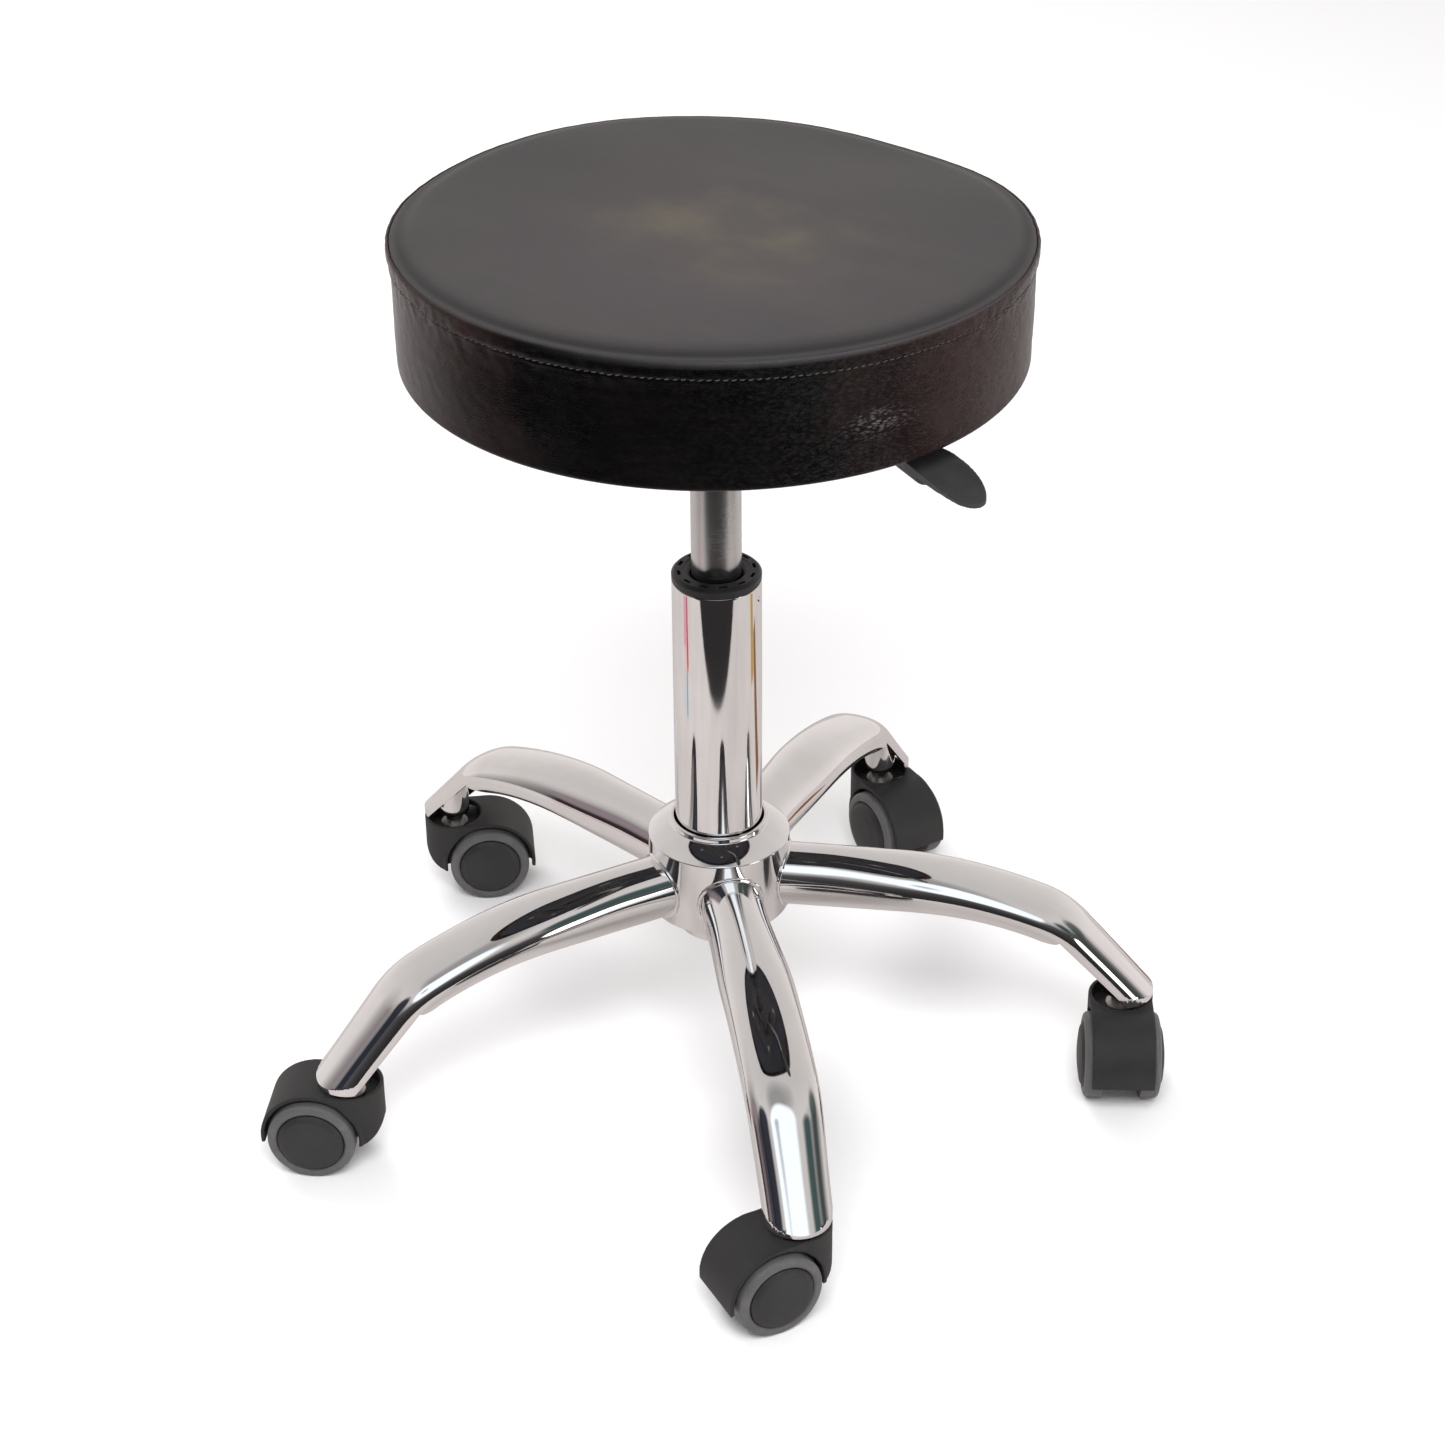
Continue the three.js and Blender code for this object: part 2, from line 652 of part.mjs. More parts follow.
// Steel pin: held in the leg's boss above, snapped into the hood below.
function casterStem() {
  const collar = 8.5;
  const profile = [
    [0, 27],
    [STEM_RADIUS, 27],
    [STEM_RADIUS, CUP_FLOOR_Z + GAP],
    [collar, CUP_FLOOR_Z + GAP],
    [collar, CUP_FLOOR_Z + GAP + 2],
    [STEM_RADIUS, CUP_FLOOR_Z + GAP + 2],
    [STEM_RADIUS, 72],
    [0, 72],
  ];
  return turned(profile, PIN_SEGMENTS);
}

// Hood about a stem at the origin, trailing along +X: a cup round the stem, a fender over
// both wheels and a web between them that carries the axle.
function casterHood() {
  const wheelRoom = WHEEL_RADIUS + HOOD_CLEARANCE;
  const tailAngle = radians(8);
  const fender = axleSolid(HOOD_RADIUS, -HOOD_HALF_WIDTH, HOOD_HALF_WIDTH);
  const cup = postSolid(CUP_RADIUS, HOOD_BOTTOM_Z, CUP_TOP_Z);
  const bridge = boxSolid(
    CASTER_TRAIL, 2 * HOOD_HALF_WIDTH, CUP_TOP_Z - HOOD_BOTTOM_Z - 0.4,
    CASTER_TRAIL / 2, 0, (CUP_TOP_Z + HOOD_BOTTOM_Z - 0.4) / 2,
  );
  const corner = 12.8;
  const chin = boxSolid(corner, 50, corner, -CUP_RADIUS + corner / 2, 0,
    HOOD_BOTTOM_Z + corner / 2).subtract(toSolid(
    new THREE.CylinderGeometry(corner, corner, 60, SEGMENTS)
      .translate(-CUP_RADIUS + corner, 0, HOOD_BOTTOM_Z + corner),
  ));
  const below = boxSolid(120, 60, 60, CASTER_TRAIL - 20, 0, HOOD_BOTTOM_Z - 30);
  const tailCut = toSolid(new THREE.BoxGeometry(60, 60, 60).translate(30, 0, -30)
    .rotateY(tailAngle).translate(CASTER_TRAIL, 0, WHEEL_RADIUS));
  const axleBoss = axleSolid(9, -WEB_HALF_WIDTH, WEB_HALF_WIDTH, PIN_SEGMENTS);
  let hood = fender.add(cup).add(bridge).subtract(chin).subtract(below).subtract(tailCut);
  for (const side of [-1, 1]) {
    const near = side * WEB_HALF_WIDTH;
    const far = side * 40;
    const room = axleSolid(wheelRoom, Math.min(near, far), Math.max(near, far));
    hood = hood.subtract(room);
  }
  const recess = postSolid(CUP_RADIUS - 2.2, CUP_FLOOR_Z, CUP_TOP_Z + 10);
  const stemBore = postSolid(STEM_RADIUS + GAP, 26.4, CUP_FLOOR_Z + 10, 0, 0, PIN_SEGMENTS);
  const axleBore = axleSolid(AXLE_RADIUS + GAP, -30, 30, 16);
  return toGeometry(hood.add(axleBoss).subtract(recess).subtract(stemBore).subtract(axleBore));
}

function casterAxle() {
  const length = 2 * TREAD_OUTER - 1;
  const pin = new THREE.CylinderGeometry(AXLE_RADIUS, AXLE_RADIUS, length, 16);
  return pin.translate(CASTER_TRAIL, 0, WHEEL_RADIUS);
}

// A wheel is turned about its axle: its profile is [radius, distance from the middle].
function wheelOnAxle(profile, side) {
  const points = profile.map(([radius, out]) => new THREE.Vector2(radius, out));
  const wheel = new THREE.LatheGeometry(points, WHEEL_SEGMENTS);
  if (side < 0) {
    wheel.rotateX(PI);
  }
  return wheel.translate(CASTER_TRAIL, 0, WHEEL_RADIUS);
}

function wheelCore(side) {
  const bore = AXLE_RADIUS + GAP;
  const profile = [
    [0, TREAD_OUTER],
    [bore, TREAD_OUTER],
    [bore, WHEEL_INNER],
    [WHEEL_CORE_RADIUS, WHEEL_INNER],
    [WHEEL_CORE_RADIUS, TREAD_OUTER],
    [14, CAP_OUTER - 1.4],
    [0, CAP_OUTER],
  ];
  return wheelOnAxle(profile, side);
}

function wheelTread(side) {
  const inside = WHEEL_CORE_RADIUS + GAP;
  const profile = [
    [inside, WHEEL_INNER],
    [WHEEL_RADIUS, WHEEL_INNER],
    [WHEEL_RADIUS, TREAD_OUTER - 3.5],
    [WHEEL_RADIUS - 3, TREAD_OUTER],
    [inside, TREAD_OUTER],
    [inside, WHEEL_INNER],
  ];
  return wheelOnAxle(profile, side);
}

function buildCaster(number, azimuth, heading, shapes) {
  const caster = new THREE.Group();
  caster.position.set(STEM_CIRCLE * cos(azimuth), STEM_CIRCLE * sin(azimuth), 0);
  caster.rotation.z = radians(heading);
  stool.add(caster);
  place(caster, `caster_stem_${number}`, shapes.stem, steel);
  place(caster, `caster_hood_${number}`, shapes.hood, hoodPlastic);
  place(caster, `caster_axle_${number}`, shapes.axle, steel);
  for (const [name, side] of [['left', 1], ['right', -1]]) {
    place(caster, `wheel_${name}_${number}`, wheelCore(side), capPlastic);
    place(caster, `tread_${name}_${number}`, wheelTread(side), greyRubber);
  }
}

// --- assembly -------------------------------------------------------------------------

place(stool, 'base_hub', hub(), chrome);
place(stool, 'lift_column', column(), chrome);
place(stool, 'guide_bush', guideBush(), blackPlastic);
place(stool, 'thrust_bearing', thrustBearing(), steel);
place(stool, 'piston_rod', pistonRod(), steel);
place(stool, 'retaining_clip', retainingClip(), steel);
place(stool, 'bump_stop', bumpStop(), rubber);
place(stool, 'gas_cylinder', gasCylinder(), brushedChrome);
place(stool, 'release_button', releaseButton(), steel);

const legShape = leg();
const casterShapes = { stem: casterStem(), hood: casterHood(), axle: casterAxle() };
for (let i = 0; i < LEG_COUNT; i += 1) {
  const azimuth = radians(FIRST_LEG_AZIMUTH + (i * 360) / LEG_COUNT);
  place(stool, `leg_${i + 1}`, legShape, chrome).rotation.z = azimuth;
  buildCaster(i + 1, azimuth, CASTER_HEADINGS[i], casterShapes);
}

place(stool, 'seat_plate', seatPlate(), blackSteel);
place(stool, 'seat_board', seatBoard(), plywood);
place(stool, 'seat_foam', seatFoam(), foam);
place(stool, 'seat_top', seatTop(), topVinyl);
place(stool, 'seat_band', seatBand(), bandVinyl);
const boltShape = plateBolt();
for (const [i, [x, y]] of boltPlaces().entries()) {
  place(stool, `plate_bolt_${i + 1}`, boltShape, steel).position.set(x, y, 0);
}
place(stool, 'lever_rod', leverRod(), steel);
place(stool, 'lever_paddle', leverPaddle(), blackPlastic);

export default stool;
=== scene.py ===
"""Looks for the adjustable swivel stool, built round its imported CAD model.

Everything is in the CAD model's frame. Shapes are written in millimetres and scaled to
metres when their meshes are made.
"""
from math import atan2, cos, degrees, dist, hypot, pi, radians, sin, sqrt, tan

import bmesh
import bpy
import numpy as np
from mathutils import Matrix, Vector, noise


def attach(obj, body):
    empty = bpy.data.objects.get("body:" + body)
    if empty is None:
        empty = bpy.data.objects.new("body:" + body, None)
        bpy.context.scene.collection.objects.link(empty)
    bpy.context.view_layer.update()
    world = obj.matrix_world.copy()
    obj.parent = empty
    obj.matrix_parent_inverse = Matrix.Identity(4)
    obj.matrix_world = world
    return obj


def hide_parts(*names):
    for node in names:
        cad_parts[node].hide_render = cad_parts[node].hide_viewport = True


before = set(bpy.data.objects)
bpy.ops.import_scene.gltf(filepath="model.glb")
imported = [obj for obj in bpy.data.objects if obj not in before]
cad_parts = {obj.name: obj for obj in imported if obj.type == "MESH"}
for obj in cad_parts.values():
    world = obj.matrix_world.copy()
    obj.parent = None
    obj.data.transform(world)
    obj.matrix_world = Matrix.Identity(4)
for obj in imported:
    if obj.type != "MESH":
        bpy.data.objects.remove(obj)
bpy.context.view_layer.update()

MM = 0.001

# --- dimensions, as in the CAD model, in millimetres ---

COLUMN_RADIUS = 25.0
COLUMN_TOP = 315.0
COLUMN_WALL = 1.5
PUNCH_MARKS = ((13.3, 306.5), (-139.4, 305.0))  # azimuth in degrees, height
TUBE_RADIUS = 14.0
TUBE_TOP_RADIUS = 13.3
HUB_RADIUS = 40.9
HUB_BOTTOM = 103.0
HUB_SHOULDER = 149.5
HUB_TOP = 160.5

LEG_COUNT = 5
LEG_STEP = 360.0 / LEG_COUNT
FIRST_LEG_AZIMUTH = -44.0
LEG_AXIS_Z = 122.5
LEG_STRAIGHT_END = 106.0
LEG_BOW_RADIUS = 235.0
LEG_BOW_ANGLE = 20.0
LEG_BEND_RADIUS = 50.0
LEG_TIP_ANGLE = 48.0
LEG_LAST_STRETCH = 62.0
LEG_WALL = 2.0
LEG_TRIM_Z = 57.0
STEM_CIRCLE = 236.7
MOUTH_X = 203.0
MOUTH_Z = 97.0
MOUTH_SLOPE = 46.3
NOSE_RADIUS = 18.7
BOSS_RADIUS = 9.75
LEG_ROUND = 18.2
STEM_ROOM = 5.8
AXLE_ROOM = 4.3

CASTER_HEADINGS = (-116.0, -56.0, -24.0, 42.0, -149.0)
WHEEL_RADIUS = 25.0
CASTER_TRAIL = 20.7
CUP_RADIUS = 18.8
CUP_TOP = 54.4
CUP_FLOOR = 46.0
HOOD_HALF_WIDTH = 18.2
HOOD_RADIUS = 29.3
HOOD_BOTTOM = 21.0
WHEEL_ROOM = 27.0
WEB_HALF_WIDTH = 9.6
WHEEL_INNER = 10.7
TREAD_OUTER = 21.8
CORE_RADIUS = 19.1
CAP_OUTER = 25.4

SEAM_RADIUS = 167.1
SEAM_Z = 519.6
STITCH_Z = 511.9
TOP_EDGE_Z = 524.1
TOP_FLAT = 155.0
BAND_RADIUS = 166.7
CROWN_Z = 526.4
SEAT_BOTTOM = 454.0
DENT_AZIMUTH = -26.5
HEM_RADIUS = 146.0
POCKET_TOP = 468.2

LEVER_BEND_X = 95.5
LEVER_ANGLE = -26.8
PADDLE_TOP = 443.5
PADDLE_THICKNESS = 5.0
SLEEVE_Z = PADDLE_TOP - PADDLE_THICKNESS - 2.0

VIEW_TURN = radians(36.0)  # from the view's own axes (+Y away from it) to the CAD frame


# --- helpers: outlines and meshes ---


def between(x, low, high):
    """How far a value has come from low to high, from 0 to 1."""
    return np.clip((x - low) / (high - low), 0, 1)


def smoothstep(x, low, high):
    t = between(x, low, high)
    return t * t * (3 - 2 * t)


def turns(count):
    """Angles evenly round a full turn."""
    return [2 * pi * k / count for k in range(count)]


def rounded(corners, closed=False, steps=5):
    """An outline of (x, y, rounding) with each corner turned into an arc."""
    points = []
    count = len(corners)
    for i, (x, y, rounding) in enumerate(corners):
        if rounding == 0 or (not closed and i in (0, count - 1)):
            points.append((x, y))
            continue
        corner = Vector((x, y))
        before = Vector(corners[i - 1][:2]) - corner
        after = Vector(corners[(i + 1) % count][:2]) - corner
        half = before.angle(after) / 2
        reach = min(rounding / tan(half), 0.48 * before.length, 0.48 * after.length)
        radius = reach * tan(half)
        middle = (before.normalized() + after.normalized()).normalized()
        centre = corner + middle * (radius / sin(half))
        start = corner + before.normalized() * reach - centre
        end = corner + after.normalized() * reach - centre
        turn = atan2(start.x * end.y - start.y * end.x, start.dot(end))
        for k in range(steps + 1):
            c, s = cos(turn * k / steps), sin(turn * k / steps)
            points.append((centre.x + start.x * c - start.y * s,
                           centre.y + start.x * s + start.y * c))
    return points


def lathe(outline, segments):
    """Points and faces of an outline of (radius, height) turned about Z.

    An outline that starts and ends on the axis closes there; any other is a closed ring."""
    tiny = 1e-6
    ring = outline[0][0] > tiny
    points, rows = [], []
    for radius, height in outline:
        if radius <= tiny:
            rows.append([len(points)] * segments)
            points.append((0.0, 0.0, height))
            continue
        first = len(points)
        rows.append(list(range(first, first + segments)))
        points += [(radius * cos(a), radius * sin(a), height) for a in turns(segments)]
    return points, quilt(rows, ring)


def quilt(rows, ring=False):
    """Faces between rows of point numbers, each row a loop.

    ring joins the last row to the first. A row of one repeated number is a single point."""
    pairs = list(zip(rows, rows[1:])) + ([(rows[-1], rows[0])] if ring else [])
    faces = []
    for low, high in pairs:
        for k in range(len(low)):
            n = (k + 1) % len(low)
            loop = [low[k], low[n], high[n], high[k]]
            loop = [v for i, v in enumerate(loop) if v not in loop[:i]]
            if len(loop) > 2:
                faces.append(loop)
    return faces


def loops(count, around, first=0):
    """Rows of point numbers: count loops of around points each."""
    starts = [first + row * around for row in range(count)]
    return [list(range(start, start + around)) for start in starts]


def prism(name, outline, low, high):
    """An outline of (x, y) as a solid between two heights."""
    points = [(x, y, z) for z in (low, high) for x, y in outline]
    rows = loops(2, len(outline))
    return make(name, points, quilt(rows) + rows)


def place_in_scene(name, data):
    """A new object of some data, linked to the scene."""
    obj = bpy.data.objects.new(name, data)
    bpy.context.scene.collection.objects.link(obj)
    return obj


def make(name, points, faces, material=None):
    """A smooth-shaded object from points in millimetres, with its faces outward."""
    mesh = bpy.data.meshes.new(name)
    mesh.from_pydata((np.asarray(points, float) * MM).tolist(), [], faces)
    bm = bmesh.new()
    bm.from_mesh(mesh)
    bmesh.ops.recalc_face_normals(bm, faces=bm.faces)
    bm.to_mesh(mesh)
    bm.free()
    mesh.shade_smooth()
    obj = place_in_scene(name, mesh)
    if material:
        mesh.materials.append(material)
    return obj


def even_normals(obj):
    """Shades broad faces flat and keeps the change of direction in the narrow ones."""
    modifier = obj.modifiers.new("even_normals", "WEIGHTED_NORMAL")
    modifier.keep_sharp = True
    return obj


def bake(obj):
    """Replaces an object's mesh with what its modifiers make of it."""
    graph = bpy.context.evaluated_depsgraph_get()
    mesh = bpy.data.meshes.new_from_object(obj.evaluated_get(graph))
    old = obj.data
    obj.modifiers.clear()
    obj.data = mesh
    mesh.name = obj.name
    bpy.data.meshes.remove(old)
    return obj


def discard(obj):
    mesh = obj.data
    bpy.data.objects.remove(obj)
    bpy.data.meshes.remove(mesh)


def combine(target, tool, operation):
    """Cuts, joins or intersects a closed solid with another, which is used up."""
    modifier = target.modifiers.new("combine", "BOOLEAN")
    modifier.operation = operation
    modifier.object = tool
    modifier.solver = "MANIFOLD"
    bake(target)
    discard(tool)
    return target


def cut(target, tool):
    return combine(target, tool, "DIFFERENCE")


def join(target, tool):
    return combine(target, tool, "UNION")


def keep(target, tool):
    return combine(target, tool, "INTERSECT")


def block(x, y, z):
    """A box between pairs of coordinates."""
    points = [(a, b, c) for a in x for b in y for c in z]
    faces = [(0, 1, 3, 2), (4, 6, 7, 5), (0, 4, 5, 1), (2, 3, 7, 6), (0, 2, 6, 4), (1, 5, 7, 3)]
    return make("block", points, faces)


def post(radius, low, high, x=0.0, y=0.0, segments=96):
    """A cylinder about Z, standing at x, y."""
    obj = make("post", *lathe([(0, low), (radius, low), (radius, high), (0, high)], segments))
    obj.data.transform(Matrix.Translation((x * MM, y * MM, 0)))
    return obj


def axle(radius, low, high, segments=96):
    """A cylinder along Y through a caster's axle."""
    obj = make("axle", *lathe([(0, low), (radius, low), (radius, high), (0, high)], segments))
    obj.data.transform(axle_place())
    return obj


def axle_place():
    """Turns +Z to +Y and moves it to a caster's axle."""
    turn = Matrix.Rotation(-pi / 2, 4, "X")
    return Matrix.Translation((CASTER_TRAIL * MM, 0, WHEEL_RADIUS * MM)) @ turn


def soften(obj, voxel, rounds):
    """Remeshes a moulded shape and smooths it, so that its edges turn round."""
    remesh = obj.modifiers.new("remesh", "REMESH")
    remesh.mode = "VOXEL"
    remesh.voxel_size = voxel * MM
    smooth = obj.modifiers.new("smooth", "SMOOTH")
    smooth.factor = 0.5
    smooth.iterations = rounds
    bake(obj)
    obj.data.shade_smooth()
    return obj


def mark_edges(obj, angle):
    """Keeps edges crisp where the faces meet at more than an angle."""
    obj.data.shade_smooth()
    obj.data.set_sharp_from_angle(angle=radians(angle))
    return obj


def fit(obj, material, body, slot, *nodes):
    """Gives a piece its material and body, and hides the CAD nodes it stands for. slot is not
    used.
    """
    obj.data.materials.clear()
    obj.data.materials.append(material)
    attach(obj, body)
    if nodes:
        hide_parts(*nodes)
    return obj


def copy_of(obj, name, matrix):
    twin = place_in_scene(name, obj.data)
    for modifier in obj.modifiers:
        if modifier.type == "WEIGHTED_NORMAL":
            even_normals(twin)
    twin.matrix_world = matrix
    return twin


# --- helpers: materials ---


class Paint:
    """A procedural material under construction."""

    def __init__(self, name, **settings):
        self.material = bpy.data.materials.new(name)
        self.material.use_nodes = True
        self.tree = self.material.node_tree
        self.shader = self.tree.nodes["Principled BSDF"]
        self.place = self.node("ShaderNodeTexCoord").outputs["Object"]
        for key, value in settings.items():
            self.shader.inputs[key.replace("_", " ")].default_value = value

    def node(self, kind, **inputs):
        made = self.tree.nodes.new(kind)
        for key, value in inputs.items():
            self.feed(made.inputs[key.replace("_", " ")], value)
        return made

    def feed(self, socket, value):
        if isinstance(value, bpy.types.NodeSocket):
            self.tree.links.new(value, socket)
        else:
            socket.default_value = value

    def axes(self, vector):
        """The X, Y and Z of a vector."""
        return tuple(self.node("ShaderNodeSeparateXYZ", Vector=vector).outputs)

    def stretched(self, x, y, z):
        """Object coordinates multiplied along each axis."""
        made = self.node("ShaderNodeMapping", Vector=self.place)
        made.inputs["Scale"].default_value = (x, y, z)
        return made.outputs["Vector"]

    def noise(self, scale, detail=3.0, roughness=0.5, vector=None):
        made = self.node("ShaderNodeTexNoise", Vector=vector or self.place, Scale=scale,
                         Detail=detail, Roughness=roughness)
        return made.outputs["Fac"]

    def cells(self, scale, vector=None, feature="F1"):
        made = self.node("ShaderNodeTexVoronoi", Vector=vector or self.place, Scale=scale)
        made.feature = feature
        return made.outputs["Distance"]

    def ramp(self, value, stops):
        made = self.node("ShaderNodeValToRGB", Fac=value)
        ramp = made.color_ramp
        while len(ramp.elements) < len(stops):
            ramp.elements.new(0.5)
        for element, (position, colour) in zip(ramp.elements, stops):
            element.position = position
            element.color = shade(colour)
        return made.outputs["Color"]

    def mix(self, share, first, second):
        made = self.node("ShaderNodeMix")
        made.data_type = "RGBA"
        self.feed(made.inputs[0], share)
        for socket, value in ((made.inputs[6], first), (made.inputs[7], second)):
            if isinstance(value, bpy.types.NodeSocket):
                self.feed(socket, value)
            else:
                socket.default_value = shade(value)
        return made.outputs[2]

    def math(self, operation, first, second=0.0):
        made = self.node("ShaderNodeMath")
        made.operation = operation
        for socket, value in zip(made.inputs, (first, second)):
            self.feed(socket, value)
        return made.outputs[0]

    def times(self, first, second):
        return self.math("MULTIPLY", first, second)

    def plus(self, first, second):
        return self.math("ADD", first, second)

    def away(self, x, y):
        """Distance from two offsets at right angles."""
        return self.math("SQRT", self.plus(self.times(x, x), self.times(y, y)))

    def offset(self, value, centre, size):
        """How many sizes a value lies from a centre."""
        return self.math("DIVIDE", self.math("SUBTRACT", value, centre), size)

    def spread(self, value, low, high, to_low=0.0, to_high=1.0):
        """Maps one range of values to another, held at its ends."""
        made = self.node("ShaderNodeMapRange")
        made.clamp = True
        for socket, number in zip(made.inputs, (value, low, high, to_low, to_high)):
            self.feed(socket, number)
        return made.outputs[0]

    def bump(self, height, distance, strength=1.0, normal=None):
        made = self.node("ShaderNodeBump", Height=height, Distance=distance * MM,
                         Strength=strength)
        if normal:
            self.feed(made.inputs["Normal"], normal)
        return made.outputs["Normal"]

    def finish(self, colour=None, roughness=None, normal=None):
        for key, value in (("Base Color", colour), ("Roughness", roughness), ("Normal", normal)):
            if value is not None:
                self.feed(self.shader.inputs[key], value)
        return self.material


def shade(colour):
    """A colour with its alpha, from three numbers or one grey."""
    if isinstance(colour, (int, float)):
        colour = (colour, colour, colour)
    return (*colour, 1.0)


# --- materials ---


def chrome_paint():
    """Polished chrome: faint polishing lines, dulled patches and small pits."""
    p = Paint("polished_chrome", Metallic=1.0)
    film = p.noise(14.0, 4.0, 0.6)
    fine = p.noise(900.0, 2.0)
    pits = p.cells(420.0)
    colour = p.ramp(film, [(0.3, (0.80, 0.785, 0.77)), (0.7, (0.88, 0.875, 0.87))])
    speck = p.spread(pits, 0.0, 0.055, 1.0, 0.0)
    colour = p.mix(speck, colour, (0.42, 0.40, 0.38))
    rough = p.plus(p.spread(film, 0.35, 0.75, 0.035, 0.085), p.times(speck, 0.3))
    waves = p.noise(38.0, 2.0)
    normal = p.bump(waves, 0.05, 0.5)
    return p.finish(colour, rough, p.bump(fine, 0.004, 0.4, normal))


def satin_paint():
    """Ground and chromed tube: fine rings round it."""
    p = Paint("satin_chrome", Metallic=1.0)
    rings = p.noise(1.0, 3.0, 0.6, p.stretched(30, 30, 4200))
    film = p.noise(25.0, 4.0)
    colour = p.ramp(film, [(0.3, (0.56, 0.56, 0.56)), (0.7, (0.68, 0.68, 0.67))])
    rough = p.plus(p.spread(film, 0.3, 0.7, 0.17, 0.24), p.times(rings, 0.08))
    return p.finish(colour, rough, p.bump(rings, 0.004, 0.4))


def steel_paint():
    """Zinc-plated steel: mottled crystals and small scratches."""
    p = Paint("zinc_steel", Metallic=1.0)
    mottle = p.cells(260.0)
    film = p.noise(60.0, 5.0, 0.6)
    scratch = p.noise(1.0, 2.0, 0.5, p.stretched(300, 300, 2600))
    colour = p.mix(film, p.ramp(mottle, [(0.1, (0.48, 0.49, 0.51)), (0.7, (0.6, 0.6, 0.6))]),
                   (0.5, 0.48, 0.42))
    return p.finish(colour, p.spread(film, 0.3, 0.7, 0.26, 0.42), p.bump(scratch, 0.02, 0.5))


def coat_paint():
    """Black powder coat with its orange peel, thin at scuffs."""
    p = Paint("powder_coat")
    peel = p.noise(700.0, 2.0)
    scuff = p.noise(45.0, 6.0, 0.7)
    colour = p.ramp(scuff, [(0.45, 0.018), (0.7, 0.04), (0.8, 0.09)])
    return p.finish(colour, p.spread(scuff, 0.4, 0.8, 0.36, 0.6), p.bump(peel, 0.05, 0.6))


def moulded_paint(name, dark, light, rough, grain, depth):
    """Moulded black plastic: spark-eroded grain, dust in it and worn patches."""
    p = Paint(name)
    skin = p.noise(grain, 4.0, 0.65)
    cloud = p.noise(42.0, 4.0, 0.6)
    dust = p.noise(260.0, 5.0, 0.75)
    colour = p.ramp(cloud, [(0.3, dark), (0.72, light)])
    speck = p.spread(dust, 0.66, 0.78, 0.0, 0.5)
    colour = p.mix(speck, colour, tuple(3.2 * c for c in light))
    worn = p.spread(cloud, 0.3, 0.75, rough, rough + 0.14)
    return p.finish(colour, worn, p.bump(skin, depth, 0.7))


def tread_paint():
    """Grey tyre: smooth, a little shiny, dusty where it rolls."""
    p = Paint("grey_tread")
    cloud = p.noise(70.0, 4.0, 0.6)
    dust = p.noise(420.0, 4.0, 0.7)
    fine = p.noise(1500.0, 3.0)
    colour = p.ramp(cloud, [(0.3, (0.080, 0.079, 0.079)), (0.7, (0.115, 0.113, 0.112))])
    colour = p.mix(p.spread(dust, 0.6, 0.75, 0.0, 0.45), colour, (0.24, 0.235, 0.23))
    return p.finish(colour, p.spread(cloud, 0.3, 0.7, 0.34, 0.48), p.bump(fine, 0.02, 0.5))


def rubber_paint():
    p = Paint("black_rubber")
    grain = p.noise(800.0, 4.0, 0.7)
    cloud = p.noise(90.0, 3.0)
    colour = p.ramp(cloud, [(0.3, 0.012), (0.7, 0.028)])
    return p.finish(colour, p.spread(grain, 0.3, 0.7, 0.65, 0.85), p.bump(grain, 0.05, 0.6))


def top_vinyl_paint():
    """The seat's matt top: fine grain, worn olive-brown in the middle, dust and scuffs.

    It has painted shade: darker with distance from a point in front of its middle, most at the
    back, and a dark ring of painted shade just inside the seam."""
    p = Paint("seat_vinyl_top", Specular_IOR_Level=0.85)
    x, y, _ = p.axes(p.place)
    cloud = p.noise(9.0, 5.0, 0.6)
    streak = p.noise(1.0, 5.0, 0.65, p.stretched(10, 26, 10))
    base = p.ramp(cloud, [(0.3, (0.0215, 0.0188, 0.0205)), (0.7, (0.0335, 0.0290, 0.0305))])
    base = p.mix(p.spread(streak, 0.45, 0.7, 0.0, 0.5), base, (0.046, 0.0375, 0.0370))
    # Painted shade: the top grows darker with distance from a point in front of its middle.
    painted_shade_from_front = p.away(p.plus(x, -0.030), p.plus(y, 0.040))
    base = p.mix(p.spread(painted_shade_from_front, 0.05, 0.17, 0.0, 0.55), base, (0.010, 0.0095, 0.0105))
    # Painted shade: a dark ring just inside the seam, where the top's edge slopes down.
    radius = p.away(x, y)
    ring = p.times(p.spread(radius, 0.1575, 0.1615, 0.0, 0.95),
                   p.spread(radius, 0.1630, 0.1655, 1.0, 0.0))
    base = p.mix(ring, base, 0.0015)
    worn = worn_patch(p, x, y)
    base = p.mix(worn, base, (0.072, 0.0610, 0.0420))
    dust = p.cells(150.0)
    speck = p.times(p.spread(dust, 0.0, 0.045, 1.0, 0.0),
                   p.spread(p.noise(26.0, 2.0), 0.56, 0.62, 0.0, 0.7))
    base = p.mix(speck, base, (0.26, 0.25, 0.23))
    leather = p.cells(820.0)
    fine = p.noise(1400.0, 3.0, 0.6)
    rough = p.plus(p.spread(cloud, 0.3, 0.7, 0.50, 0.58), p.times(worn, 0.06))
    normal = p.bump(leather, 0.10, 0.55)
    return p.finish(base, rough, p.bump(fine, 0.03, 0.5, normal))


def worn_patch(p, x, y):
    """Share of wear: a ragged patch round the middle of the seat."""
    away = p.away(p.offset(x, 0.022, 0.070), p.offset(y, -0.012, 0.052))
    ragged = p.plus(away, p.times(p.noise(24.0, 5.0, 0.65), 1.1))
    patchy = p.spread(p.noise(15.0, 4.0, 0.6), 0.42, 0.62, 0.25, 1.0)
    return p.times(p.spread(ragged, 1.0, 1.75, 0.95, 0.0), patchy)


